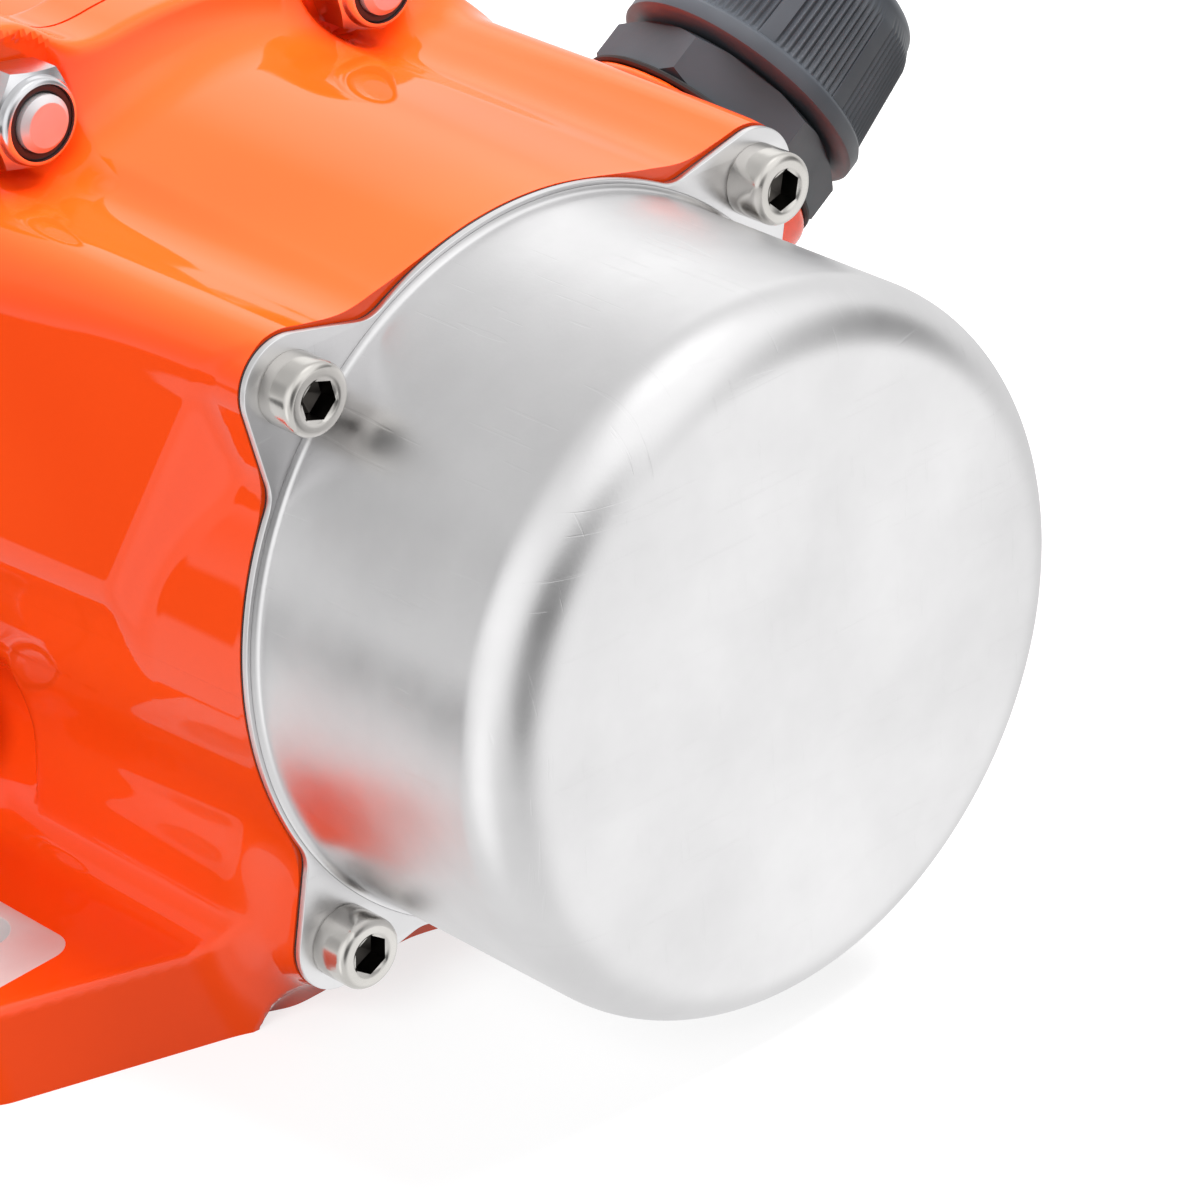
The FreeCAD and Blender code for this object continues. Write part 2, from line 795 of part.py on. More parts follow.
def cage(name):
    """The ring that spaces the balls, with a round pocket for each."""
    ring = tube(name + "_ring", "ball_pitch + cage_wall / 2", "ball_pitch - cage_wall / 2", "cage_width",
                "-bearing_start - (bearing_width + cage_width) / 2")
    pockets = []
    for step, angle in enumerate(ball_angles()):
        turn = Rotation(Vector(0, 1, 0), 90 - step * 360 / size("ball_count"))
        pocket = doc.addObject("Part::Cylinder", fresh("pocket"))
        bind(pocket, "Radius", "ball_radius + groove_play")
        bind(pocket, "Height", "4 * cage_wall")
        out = "(ball_pitch - 2 * cage_wall)"
        put(pocket, (f"{out} * cos(({angle}) * 1 deg)", "-bearing_start - bearing_width / 2",
                     f"axis_height + {out} * sin(({angle}) * 1 deg)"), turn)
        pockets.append(pocket)
    return cut(name, ring, pockets)


def eccentric(name, start):
    """A half disc that hangs below the shaft, with a square hub above it."""
    disc = cylinder("weight_disc", "weight_radius", "weight_thick", ("0", start, "axis_height"))
    lower = box("weight_lower", ("2 * weight_radius", "weight_thick", "weight_radius"),
                ("-weight_radius", start, "axis_height - weight_radius"))
    hub = box("weight_block", ("2 * weight_hub", "weight_thick", "weight_rise"),
              ("-weight_hub", start, "axis_height"))
    whole = fuse("weight_blank", [common("weight_half", disc, lower), hub])
    bore = cylinder("weight_bore", "journal_radius + fit", "weight_thick + 2 * overrun",
                    ("0", f"{start} - overrun", "axis_height"))
    return whole, [bore]


def fixed_weight():
    whole, holes = eccentric("fixed", "-weight_start - weight_thick")
    return cut("fixed_weight", whole, holes + [key_room("key_slot", "fit")])


ADJUSTED = "-weight_start - 2 * weight_thick - weight_gap"
CLAMP_Y = f"{ADJUSTED} + weight_thick / 2"
CLAMP_Z = "axis_height + clamp_rise"


def adjustable_weight():
    """The outer weight, whose hub is split and pinched on to the shaft."""
    whole, holes = eccentric("adjustable", ADJUSTED)
    holes.append(box("slit", ("slit_width", "weight_thick + 2 * overrun", "weight_rise + overrun"),
                     ("-slit_width / 2", f"{ADJUSTED} - overrun", "axis_height")))
    holes.append(cylinder("clamp_hole", "clamp_radius + fit", "2 * weight_hub",
                          ("-weight_hub + clamp_hole_end", CLAMP_Y, CLAMP_Z), "x"))
    holes.append(cylinder("clamp_seat", "clamp_head + fit", "clamp_head_height + overrun",
                          ("weight_hub - clamp_head_height", CLAMP_Y, CLAMP_Z), "x"))
    return cut("clamped_weight", whole, holes)


def clamp_screw():
    start = "weight_hub - clamp_head_height"
    head = cylinder("clamp_head", "clamp_head", "clamp_head_height", (start, CLAMP_Y, CLAMP_Z), "x")
    shank = cylinder("clamp_shank", "clamp_radius", "2 * weight_hub - clamp_head_height - clamp_end_gap",
                     ("-weight_hub + clamp_end_gap", CLAMP_Y, CLAMP_Z), "x")
    key = hexagon("clamp_key", "screw_key", "screw_key_depth + overrun",
                  ("weight_hub - screw_key_depth", CLAMP_Y, CLAMP_Z), "x")
    return cut("clamp_screw", fuse("clamp_blank", [head, shank]), [key])


def on_gland(name, points):
    """A piece turned about the gland's axis, with its sizes from the boss face outward."""
    return turned(name, points, GLAND_BASE, GLAND_TURN)


def gland_body():
    top = "washer_thick + gland_hex_height"
    stem = on_gland("gland_stem", [("-gland_tail", "gland_bore"),
                                   ("-gland_tail", "gland_tail_radius - gland_tail_chamfer"),
                                   ("-gland_tail + gland_tail_chamfer", "gland_tail_radius"),
                                   ("washer_thick", "gland_tail_radius"),
                                   ("washer_thick", "gland_core"), (top, "gland_core"),
                                   (top, "gland_thread"), (f"{top} + gland_neck", "gland_thread"),
                                   (f"{top} + gland_neck", "gland_bore")])
    prism = doc.addObject("Part::Prism", fresh("gland_hexagon"))
    prism.Polygon = 6
    bind(prism, "Circumradius", "gland_hex / sqrt(3)")
    bind(prism, "Height", "gland_hex_height")
    place_on_gland(prism, "washer_thick", size("gland_roll"))
    bore = doc.addObject("Part::Cylinder", fresh("gland_way"))
    bind(bore, "Radius", "gland_bore")
    bind(bore, "Height", "2 * boss_length")
    place_on_gland(bore, "-boss_length", 0.0)
    return cut("gland_stem_bored", fuse("gland_blank", [stem, prism]), [bore])


def place_on_gland(thing, along, roll):
    """Puts a thing on the gland's axis, at a distance from the boss face."""
    turn = Rotation(Vector(0, 1, 0), 90 - size("gland_tilt")).multiply(Rotation(Vector(0, 0, 1), roll))
    thing.Placement = FreeCAD.Placement(Vector(), turn)
    tilt = "gland_tilt * 1 deg"
    bind(thing, "Placement.Base.x", f"gland_side + ({along}) * cos({tilt})")
    bind(thing, "Placement.Base.y", "-gland_place")
    bind(thing, "Placement.Base.z", f"axis_height + gland_rise + ({along}) * sin({tilt})")


DOME = "washer_thick + gland_hex_height + gland_gap"


def dome_nut():
    inside = "gland_thread + fit"
    front = f"{DOME} + dome_length"
    mouth = f"{front} - dome_front_thick"
    return on_gland("dome", [(DOME, inside), (DOME, "dome_collar - dome_edge"),
                             (f"{DOME} + dome_edge", "dome_collar"),
                             (f"{DOME} + dome_collar_length", "dome_collar"),
                             (f"{DOME} + dome_collar_length + dome_step", "dome_root"),
                             (f"{DOME} + dome_straight", "dome_shoulder"),
                             (f"{front} - dome_crown", "dome_shoulder - dome_crown_drop"),
                             (front, "dome_shoulder - dome_front_drop"),
                             (front, "dome_mouth"), (mouth, "dome_mouth"), (mouth, inside)])


def gland_seal():
    start = "washer_thick + gland_hex_height + gland_neck + fit"
    stop = f"{DOME} + dome_length - dome_front_thick - seal_gap"
    outside = "gland_thread - seal_inset"
    return on_gland("seal", [(start, "seal_bore"), (start, outside), (f"{stop} - seal_nose", outside),
                             (stop, f"{outside} - seal_nose_drop"), (stop, "seal_bore")])


def gland_washer():
    inside = "gland_tail_radius + air"
    outside = "boss_radius - washer_inset"
    return on_gland("washer", [("0", inside), ("0", outside), ("washer_thick", outside),
                               ("washer_thick", inside)])


def on_lead(name, radius, start, length):
    """Three equal pieces side by side, along the gland's axis."""
    made = []
    for step in (-1, 0, 1):
        piece = doc.addObject("Part::Cylinder", fresh(name))
        bind(piece, "Radius", radius)
        bind(piece, "Height", length)
        place_on_gland(piece, start, 0.0)
        bind(piece, "Placement.Base.y", f"-gland_place + {step} * lead_spacing")
        made.append(piece)
    return made


LEAD_START = "-boss_length - lead_reach"
SPLICE_START = "-splice_place - splice_length"
LEAD_LENGTH = "boss_length + lead_reach - splice_place - splice_length / 2"


def main():
    front = housing("front_half", True)
    rear = housing("rear_half", False)
    keep("front_housing", front)
    keep("rear_housing", mirrored("rear_half_turned", rear))
    keep("housing_gasket", joint_gasket())
    cap = end_cap("cap")
    keep("front_end_cap", cap)
    keep("rear_end_cap", mirrored("cap_rear", cap))
    gasket = cap_gasket("cap_seal")
    keep("front_cap_gasket", gasket)
    keep("rear_cap_gasket", mirrored("cap_seal_rear", gasket))
    screws = [socket_screw("cap_screw", across, up) for across, up in screw_spots()]
    keep("cap_screws", both_ends("cap_screw_set", group("cap_screw_front", screws)))
    keep("flange_bolts", group("bolt_set", [flange_bolt(across, up) for across, up in bolt_spots()]))
    keep("flange_nuts", group("nut_set", [lock_nut(across, up) for across, up in bolt_spots()]))
    keep("nut_inserts", group("insert_set", [nut_insert(across, up) for across, up in bolt_spots()]))
    keep("gland_body", gland_body())
    keep("gland_dome_nut", dome_nut())
    keep("gland_seal", gland_seal())
    keep("gland_washer", gland_washer())
    keep("stator_core", tube("stator", "stator_radius", "stator_bore", "2 * stator_half", "-stator_half"))
    keep("stator_windings", both_ends("winding_pair", winding()))
    keep("motor_leads", group("lead_set", on_lead("lead", "lead_radius", LEAD_START, LEAD_LENGTH)))
    sleeves = on_lead("splice", "splice_radius", SPLICE_START, "splice_length")
    rooms = on_lead("splice_room", "lead_radius + fit", SPLICE_START, "splice_length / 2 + fit")
    keep("lead_splices", group("splice_set", [cut("splice_bored", sleeve, [room])
                                              for sleeve, room in zip(sleeves, rooms)]))
    keep("shaft", shaft())
    keep("rotor_core", tube("rotor", "stator_bore - rotor_gap", "shaft_radius", "2 * stator_half",
                            "-stator_half"))
    keep("rotor_end_rings", both_ends("end_ring_pair", tube(
        "end_ring", "ring_radius", "shaft_radius + ring_inset", "ring_reach",
        "-stator_half - ring_reach")))
    keep("bearing_outer_rings", both_ends("outer_race_pair", bearing_ring(
        "outer_race", "bearing_outer", "bearing_outer - race_wall")))
    keep("bearing_inner_rings", both_ends("inner_race_pair", bearing_ring(
        "inner_race", "2 * ball_pitch - bearing_outer + race_wall", "journal_radius")))
    ball_set = group("ball_set", balls())
    keep("front_bearing_balls", ball_set)
    keep("rear_bearing_balls", mirrored("ball_set_rear", ball_set))
    front_cage = cage("cage")
    keep("front_bearing_cage", front_cage)
    keep("rear_bearing_cage", mirrored("cage_rear", front_cage))
    keep("bearing_circlips", both_ends("circlip_pair", split_tube(
        "circlip", "bearing_outer + circlip_depth", "bearing_outer - circlip_reach", "ring_thick",
        "-bearing_start - bearing_width - ring_thick", "circlip_gap")))
    keep("spacer_sleeves", both_ends("sleeve_pair", tube(
        "sleeve", "journal_radius + sleeve_wall", "journal_radius + fit",
        "weight_start - bearing_start - bearing_width", "-weight_start")))
    keep("fixed_weights", both_ends("fixed_pair", fixed_weight()))
    keep("weight_keys", both_ends("key_pair", key_room("key")))
    loose = adjustable_weight()
    keep("front_adjustable_weight", loose)
    keep("rear_adjustable_weight", mirrored("clamped_weight_rear", loose))
    pinch = clamp_screw()
    keep("front_clamp_screw", pinch)
    keep("rear_clamp_screw", mirrored("clamp_screw_rear", pinch))
    keep("shaft_washers", both_ends("washer_pair", tube(
        "end_washer", "journal_radius + end_washer_wall", "journal_radius + fit", "end_washer",
        f"{ADJUSTED} - end_washer")))
    keep("shaft_circlips", both_ends("end_circlip_pair", split_tube(
        "end_circlip", "journal_radius + end_ring_wall", "journal_radius - end_groove", "end_ring",
        f"{ADJUSTED} - end_washer - end_ring", "end_ring_gap")))
    finish()


def finish():
    """Checks the whole document, then writes one file for each node."""
    doc.recompute()
    for thing in doc.Objects:
        if "Invalid" in thing.State or "Error" in thing.State:
            raise RuntimeError(f"{thing.Name} ({thing.Label}) failed: {thing.State}")
    os.makedirs("parts", exist_ok=True)
    for name, thing in NODES.items():
        shape = thing.Shape
        if shape.isNull() or not shape.isValid() or not shape.Solids:
            raise RuntimeError(f"{name} has no valid solid")
    for name, thing in NODES.items():
        thing.Shape.exportStep(f"parts/{name}.step")
        print(f"{name}: {len(thing.Shape.Solids)} solids, {thing.Shape.Volume:.0f} mm3")


main()
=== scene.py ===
import math

import bmesh
import bpy
import numpy as np
from mathutils import Matrix, Vector


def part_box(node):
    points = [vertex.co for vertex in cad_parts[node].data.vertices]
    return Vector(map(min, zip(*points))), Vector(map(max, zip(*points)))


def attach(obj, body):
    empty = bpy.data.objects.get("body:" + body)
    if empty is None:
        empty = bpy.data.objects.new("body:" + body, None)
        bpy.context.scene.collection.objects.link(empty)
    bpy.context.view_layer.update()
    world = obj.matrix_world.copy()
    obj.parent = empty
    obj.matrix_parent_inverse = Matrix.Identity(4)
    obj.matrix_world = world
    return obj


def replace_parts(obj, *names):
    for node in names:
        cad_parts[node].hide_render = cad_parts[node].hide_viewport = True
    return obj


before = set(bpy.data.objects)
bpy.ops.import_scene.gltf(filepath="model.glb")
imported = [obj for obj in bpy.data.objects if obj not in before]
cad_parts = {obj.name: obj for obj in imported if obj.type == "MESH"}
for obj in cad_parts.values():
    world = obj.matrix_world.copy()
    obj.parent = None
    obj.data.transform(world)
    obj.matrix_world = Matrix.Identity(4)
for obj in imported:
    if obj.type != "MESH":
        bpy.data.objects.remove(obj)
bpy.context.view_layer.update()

# Lengths are in millimetres until a mesh is made. Housing shapes are worked out
# in shaft coordinates: x to the right, y to the rear from the joint, z up from the shaft.
# There, back is how far a point lies behind the front cap's flange, and out how far to one side.
MM = 0.001


def node_box(name):
    """A CAD node's lowest and highest corners, in millimetres."""
    low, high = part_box(name)
    return [value / MM for value in low], [value / MM for value in high]


SHAFT_LOW, SHAFT_HIGH = node_box("shaft")
CAP_LOW, CAP_HIGH = node_box("front_end_cap")
HOUSING_HIGH = node_box("front_housing")[1]

# How far the shaft is above the ground, and where each part ends, from the joint forward.
# The paint of the housing runs a little way over the gasket, to FRONT.
AXIS = (SHAFT_LOW[2] + SHAFT_HIGH[2]) / 2
END = 74.0
FRONT = 74.55
SHEET = 1.0
GASKET = -CAP_HIGH[1] - END
CAP_FACE = END + GASKET + SHEET
JOINT = -HOUSING_HIGH[1]

# Screws and bolts, with how far they stand from the shaft.
SCREW_SIDE = 40.0
UPPER_BOLT = (29.4, 55.0)
LOWER_BOLT = (57.0, -25.0)
BOLTS = [(side * UPPER_BOLT[0], UPPER_BOLT[1]) for side in (-1, 1)]
BOLTS += [(side * LOWER_BOLT[0], LOWER_BOLT[1]) for side in (-1, 1)]
CORNERS = [(side, rise) for side in (-1, 1) for rise in (-1, 1)]

# The cable gland, and the boss that it stands on.
GLAND_TILT = math.radians(32.7)
GLAND_AIM = Vector((math.cos(GLAND_TILT), 0, math.sin(GLAND_TILT)))
GLAND_BASE = Vector((68.9, -33.5, AXIS + 22.3))
GLAND_ROLL = math.radians(16.4)
BOSS_RADIUS = 19.4
BOSS_DEPTH = 34.0

# The round marks of the ejector pins, each with its place across and behind the cap.
MARKS = ((-27.6, 47.4), (-40.1, 47.1), (10.6, 39.4), (27.7, 45.3))
MARK_RADIUS = 4.1


# ---------------------------------------------------------------- materials

def fill(tree, node, inputs):
    """Sets a node's inputs to values, or joins them to other nodes' outputs."""
    for name, value in inputs.items():
        if isinstance(value, bpy.types.NodeSocket):
            tree.links.new(value, node.inputs[name])
        else:
            node.inputs[name].default_value = value


def new_node(tree, kind, inputs, **settings):
    node = tree.nodes.new(kind)
    for name, value in settings.items():
        setattr(node, name, value)
    fill(tree, node, inputs)
    return node


def math_node(tree, operation, first, second=0.0):
    """The output of one math node on two values or outputs."""
    return new_node(tree, "ShaderNodeMath", {0: first, 1: second}, operation=operation).outputs[0]


class Nodes:
    """A short way to write a material's node tree."""

    def __init__(self, name):
        self.material = bpy.data.materials.new(name)
        self.material.use_nodes = True
        self.tree = self.material.node_tree
        self.place = self.tree.nodes.new("ShaderNodeTexCoord").outputs["Object"]

    def set(self, **inputs):
        """Sets or joins the shader's inputs."""
        named = {name.replace("_", " "): value for name, value in inputs.items()}
        fill(self.tree, self.tree.nodes["Principled BSDF"], named)

    def add(self, kind, inputs, **settings):
        return new_node(self.tree, kind, inputs, **settings)

    def math(self, operation, first, second=0.0):
        return math_node(self.tree, operation, first, second)

    def noise(self, scale, detail=3.0, rough=0.5, stretch=None):
        place = self.place
        if stretch:
            place = self.add("ShaderNodeMapping", {"Scale": stretch, "Vector": place}).outputs["Vector"]
        inputs = {"Scale": scale, "Detail": detail, "Roughness": rough, "Vector": place}
        return self.add("ShaderNodeTexNoise", inputs).outputs["Fac"]

    def cells(self, scale):
        return self.add("ShaderNodeTexVoronoi", {"Scale": scale, "Vector": self.place}).outputs["Distance"]

    def wave(self, scale, distortion=0.0, **settings):
        inputs = {"Scale": scale, "Distortion": distortion, "Vector": self.place}
        return self.add("ShaderNodeTexWave", inputs, **settings).outputs["Fac"]

    def ramp(self, source, low, high, first, last):
        """Maps a source between two limits on to two values or colours."""
        node = self.add("ShaderNodeValToRGB", {"Fac": source})
        node.color_ramp.elements[0].position = low
        node.color_ramp.elements[1].position = high
        for element, value in zip(node.color_ramp.elements, (first, last)):
            element.color = (*value, 1) if isinstance(value, tuple) else (value, value, value, 1)
        return node.outputs["Color"]

    def bump(self, *layers):
        """Adds bumps one on another, each a source with a height in millimetres."""
        last = {}
        for source, height in layers:
            inputs = {"Strength": 1.0, "Distance": height * MM, "Height": source, **last}
            last = {"Normal": self.add("ShaderNodeBump", inputs).outputs["Normal"]}
        self.set(**last)


def paint():
    """Gloss orange enamel with orange peel and a few specks."""
    made = Nodes("gloss_orange_paint")
    made.set(Roughness=0.5, Specular_IOR_Level=0.0, Coat_Weight=0.9, Coat_Roughness=0.045, Coat_IOR=1.5)
    tone = made.ramp(made.noise(18.0, 2.0), 0.3, 0.7, (0.90, 0.066, 0.005), (0.95, 0.077, 0.007))
    made.set(Base_Color=tone)
    peel = made.noise(420.0, 2.0, 0.4)
    swell = made.noise(70.0, 1.0, 0.4)
    specks = made.ramp(made.cells(170.0), 0.02, 0.07, 1.0, 0.0)
    made.bump((peel, 0.012), (swell, 0.05), (specks, 0.03), (ejector_marks(made), 0.3))
    return made.material


def ejector_marks(made):
    """Round marks of the casting's ejector pins on top of both halves."""
    apart = made.add("ShaderNodeSeparateXYZ", {0: made.place}).outputs
    ahead = made.math("ABSOLUTE", apart["Y"])
    flat = made.add("ShaderNodeCombineXYZ", {"X": apart["X"], "Y": ahead}).outputs[0]
    marks = made.math("GREATER_THAN", apart["Z"], AXIS * MM)
    for mark_x, mark_back in MARKS:
        middle = (mark_x * MM, (CAP_FACE - mark_back) * MM, 0)
        reach = made.add("ShaderNodeVectorMath", {0: flat, 1: middle}, operation="DISTANCE")
        edge = [(MARK_RADIUS + away) * MM for away in (-0.5, 0.3)]
        marks = made.math("MULTIPLY", marks, made.ramp(reach.outputs["Value"], *edge, 0.0, 1.0))
    return marks


def bare_metal():
    """Milled bare aluminium of the foot seats, with a pale pink tint that is a painted reflection of the
    orange body.
    """
    made = Nodes("milled_aluminium")
    made.set(Metallic=0.35, Roughness=0.4)
    made.set(Base_Color=made.ramp(made.noise(60.0, 3.0), 0.3, 0.7, (0.70, 0.66, 0.66), (0.84, 0.80, 0.80)))
    cuts = made.noise(300.0, 2.0, 0.5, (1.0, 0.05, 1.0))
    made.bump((cuts, 0.02))
    return made.material


def drawn_steel():
    """Satin stainless sheet, with faint clouding, a drawn grain and a few fine scratches."""
    made = Nodes("satin_stainless")
    made.set(Metallic=1.0)
    cloud = made.noise(26.0, 5.0, 0.6)
    made.set(Base_Color=made.ramp(cloud, 0.28, 0.72, (0.70, 0.695, 0.70), (0.83, 0.825, 0.83)))
    made.set(Roughness=made.ramp(made.noise(45.0, 4.0, 0.55), 0.3, 0.7, 0.28, 0.4))
    grain = made.noise(1700.0, 2.0, 0.6)
    dents = made.noise(55.0, 2.0, 0.5)
    scratch = made.ramp(made.noise(60.0, 1.0, 0.3, (1.0, 1.0, 26.0)), 0.715, 0.73, 0.0, 1.0)
    cross = made.ramp(made.noise(55.0, 1.0, 0.3, (30.0, 1.0, 2.0)), 0.72, 0.735, 0.0, 1.0)
    made.bump((grain, 0.009), (dents, 0.03), (scratch, -0.008), (cross, -0.008))
    return made.material


def plain_metal(name, low, high, roughness, grain=900.0, height=0.004, bright=1.0):
    """A metal with a little clouding and a fine grain; dull metals are less bright."""
    made = Nodes(name)
    made.set(Metallic=bright)
    made.set(Base_Color=made.ramp(made.noise(120.0, 3.0), 0.3, 0.7, low, high))
    made.set(Roughness=made.ramp(made.noise(200.0, 3.0), 0.3, 0.7, roughness * 0.8, roughness * 1.25))
    made.bump((made.noise(grain, 2.0), height))
    return made.material


def plain_plastic(name, low, high, roughness, grain=700.0, height=0.02):
    """A moulded plastic or rubber with a fine grain."""
    made = Nodes(name)
    made.set(Base_Color=made.ramp(made.noise(90.0, 3.0), 0.3, 0.7, low, high))
    made.set(Roughness=made.ramp(made.noise(160.0, 3.0), 0.3, 0.7, roughness * 0.88, roughness * 1.12))
    made.bump((made.noise(grain, 3.0), height))
    return made.material


def laminated():
    """Stacked electrical steel sheets."""
    made = Nodes("lamination_stack")
    made.set(Metallic=0.8)
    wave = made.wave(300.0, bands_direction="Y")
    made.set(Base_Color=made.ramp(wave, 0.2, 0.8, (0.10, 0.10, 0.11), (0.22, 0.22, 0.24)))
    made.set(Roughness=made.ramp(made.noise(150.0), 0.3, 0.7, 0.4, 0.55))
    made.bump((wave, 0.05))
    return made.material


def copper_winding():
    """Varnished copper wire wound round the shaft."""
    made = Nodes("varnished_winding")
    made.set(Metallic=0.7, Coat_Weight=0.6, Coat_Roughness=0.2)
    wave = made.wave(160.0, 3.0, wave_type="RINGS", rings_direction="Y")
    made.set(Base_Color=made.ramp(wave, 0.1, 0.9, (0.20, 0.05, 0.015), (0.55, 0.18, 0.06)))
    made.set(Roughness=made.ramp(made.noise(200.0), 0.3, 0.7, 0.3, 0.45))
    made.bump((wave, 0.25))
    return made.material


# Plain metals and plastics: the colours where they are darkest and lightest, the roughness,
# and then what differs from the usual grain, height and brightness.
METALS = {
    "screw_steel": ((0.58, 0.56, 0.53), (0.70, 0.68, 0.65), 0.18),
    "zinc_plate": ((0.66, 0.66, 0.68), (0.80, 0.80, 0.82), 0.2),
    "stud_steel": ((0.50, 0.49, 0.50), (0.62, 0.61, 0.62), 0.4, 900.0, 0.004, 0.6),
    "ground_steel": ((0.50, 0.50, 0.51), (0.62, 0.62, 0.63), 0.2),
    "cast_aluminium": ((0.62, 0.62, 0.63), (0.74, 0.74, 0.75), 0.45, 400.0, 0.03),
    "bearing_steel": ((0.60, 0.61, 0.63), (0.72, 0.73, 0.75), 0.1),
    "spring_steel": ((0.08, 0.08, 0.09), (0.13, 0.13, 0.14), 0.42),
    "weight_steel": ((0.42, 0.39, 0.31), (0.55, 0.52, 0.43), 0.32, 500.0, 0.01),
    # Painted shade: the dark walls inside the screws' sockets.
    "socket_shade": ((0.03, 0.027, 0.025), (0.12, 0.11, 0.1), 0.35),
    "clamp_steel": ((0.03, 0.03, 0.033), (0.06, 0.06, 0.065), 0.4),
}
PLASTICS = {
    "gasket_sheet": ((0.012, 0.012, 0.013), (0.03, 0.03, 0.03), 0.75),
    "insert_nylon": ((0.01, 0.01, 0.012), (0.02, 0.02, 0.022), 0.5),
    "gland_nylon": ((0.034, 0.038, 0.045), (0.048, 0.053, 0.062), 0.4, 900.0, 0.012),
    "seal_rubber": ((0.01, 0.01, 0.01), (0.02, 0.02, 0.02), 0.7),
    "lead_cover": ((0.33, 0.012, 0.01), (0.42, 0.02, 0.015), 0.5),
    "splice_cover": ((0.6, 0.55, 0.38), (0.7, 0.66, 0.48), 0.45),
    "cage_nylon": ((0.66, 0.6, 0.4), (0.74, 0.68, 0.48), 0.5),
}


def make_materials():
    """Every material, by name."""
    made = {
        "housing_paint": paint(),
        "bare_metal": bare_metal(),
        "cap_steel": drawn_steel(),
        "lamination": laminated(),
        "winding_wire": copper_winding(),
    }
    made.update({name: plain_metal(name, *row) for name, row in METALS.items()})
    made.update({name: plain_plastic(name, *row) for name, row in PLASTICS.items()})
    return made


MATERIALS = make_materials()


# ---------------------------------------------------------------- mesh helpers

def finish_mesh(name, points, faces, materials, sharp=35.0, slot=None):
    """Makes an object from points in millimetres, shaded smooth but for its sharp edges."""
    mesh = bpy.data.meshes.new(name)
    mesh.from_pydata([tuple(value * MM for value in point) for point in points], [], faces)
    mesh.validate()
    piece = add_piece(name, mesh, *materials, slot=slot)
    shade(piece, sharp)
    return piece


def add_piece(name, mesh, *materials, slot=None):
    """Puts a mesh in the scene as a piece of the housing body, with its materials."""
    piece = bpy.data.objects.new(name, mesh)
    bpy.context.scene.collection.objects.link(piece)
    mesh.materials.clear()
    for material in materials:
        mesh.materials.append(MATERIALS[material])
    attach(piece, "housing")
    return piece


def shade(piece, sharp):
    """Recalculates the normals and marks edges sharper than an angle."""
    work = bmesh.new()
    work.from_mesh(piece.data)
    bmesh.ops.recalc_face_normals(work, faces=work.faces)
    limit = math.radians(sharp)
    for edge in work.edges:
        if len(edge.link_faces) == 2:
            edge.smooth = edge.calc_face_angle(0.0) < limit
    for face in work.faces:
        face.smooth = True
    work.to_mesh(piece.data)
    work.free()


def lathe(profile, base, aim, count=96, radius=None, start=0.0):
    """Points and faces of a closed profile of (along, out) pairs turned about a line.

    A row of the profile may be a function of the angle that gives its (along, out).
    radius, if given, takes (along, out, angle) and returns the true distance out.
    A profile that starts and ends on the axis closes there.
    """
    aim = Vector(aim).normalized()
    side = Vector((0, 1, 0)) if abs(aim.y) < 0.5 else Vector((0, 0, 1))
    side = (side - aim * side.dot(aim)).normalized()
    other = aim.cross(side)
    points = []
    rows = []
    for entry in profile:
        if not callable(entry) and entry[1] < 1e-6:
            rows.append([len(points)] * count)
            points.append(base + aim * entry[0])
            continue
        row = []
        for step in range(count):
            angle = start + 2 * math.pi * step / count
            along, out = entry(angle) if callable(entry) else entry
            reach = radius(along, out, angle) if radius else out
            row.append(len(points))
            spoke = side * (reach * math.cos(angle)) + other * (reach * math.sin(angle))
            points.append(base + aim * along + spoke)
        rows.append(row)
    on_axis = [not callable(entry) and entry[1] < 1e-6 for entry in (profile[0], profile[-1])]
    turns = len(rows) - 1 if all(on_axis) else len(rows)
    faces = []
    for number in range(turns):
        first, second = rows[number], rows[(number + 1) % len(rows)]
        for step in range(count):
            after = (step + 1) % count
            corner = [first[step], first[after], second[after], second[step]]
            face = [corner[i] for i in range(4) if corner[i] != corner[i - 1]]
            if len(face) > 2:
                faces.append(face)
    return points, faces


def arc(centre, radius, start, stop, steps):
    """Points of an arc in the (along, out) plane, angles in degrees."""
    made = []
    for step in range(steps + 1):
        angle = math.radians(start + (stop - start) * step / steps)
        made.append((centre[0] + radius * math.cos(angle), centre[1] + radius * math.sin(angle)))
    return made


def combine(*meshes):
    """Joins several (points, faces) pairs into one."""
    points = []
    faces = []
    for some_points, some_faces in meshes:
        start = len(points)
        points += [Vector(point) for point in some_points]
        faces += [[number + start for number in face] for face in some_faces]
    return points, faces


# ---------------------------------------------------------------- cast housing

def blend_in(first, second, width):
    """The union of two distance fields, with a fillet where they meet."""
    near = np.maximum(width - np.abs(first - second), 0.0) / width
    return np.minimum(first, second) - near * near * width * 0.25


def blend_off(first, second, width):
    """The overlap of two distance fields, with a rounded edge where they meet."""
    return -blend_in(-first, -second, width)


def carve(solid, tool, width=0.0):
    """A solid less a tool, with its rim rounded by a width."""
    return blend_off(solid, -tool, width) if width else np.maximum(solid, -tool)


def smooth(value, low, high):
    part = np.clip((value - low) / (high - low), 0.0, 1.0)
    return part * part * (3 - 2 * part)


def rounded_corner(x, z, first, second, radius):
    """Distance to the rounded corner between two half planes in x and z.

    Each half plane is (normal x, normal z, reach), and radius may vary along y.
    """
    nx1, nz1, reach1 = first
    nx2, nz2, reach2 = second
    det = nx1 * nz2 - nx2 * nz1
    in1 = reach1 - radius
    in2 = reach2 - radius
    apex_x = (in1 * nz2 - in2 * nz1) / det
    apex_z = (nx1 * in2 - nx2 * in1) / det
    dx = x - apex_x
    dz = z - apex_z
    flat = np.maximum(dx * nx1 + dz * nz1, dx * nx2 + dz * nz2)
    tip = ((dx * nz2 - dz * nx2) / det > 0) & ((nx1 * dz - nz1 * dx) / det > 0)
    return np.where(tip, np.hypot(dx, dz), flat) - radius


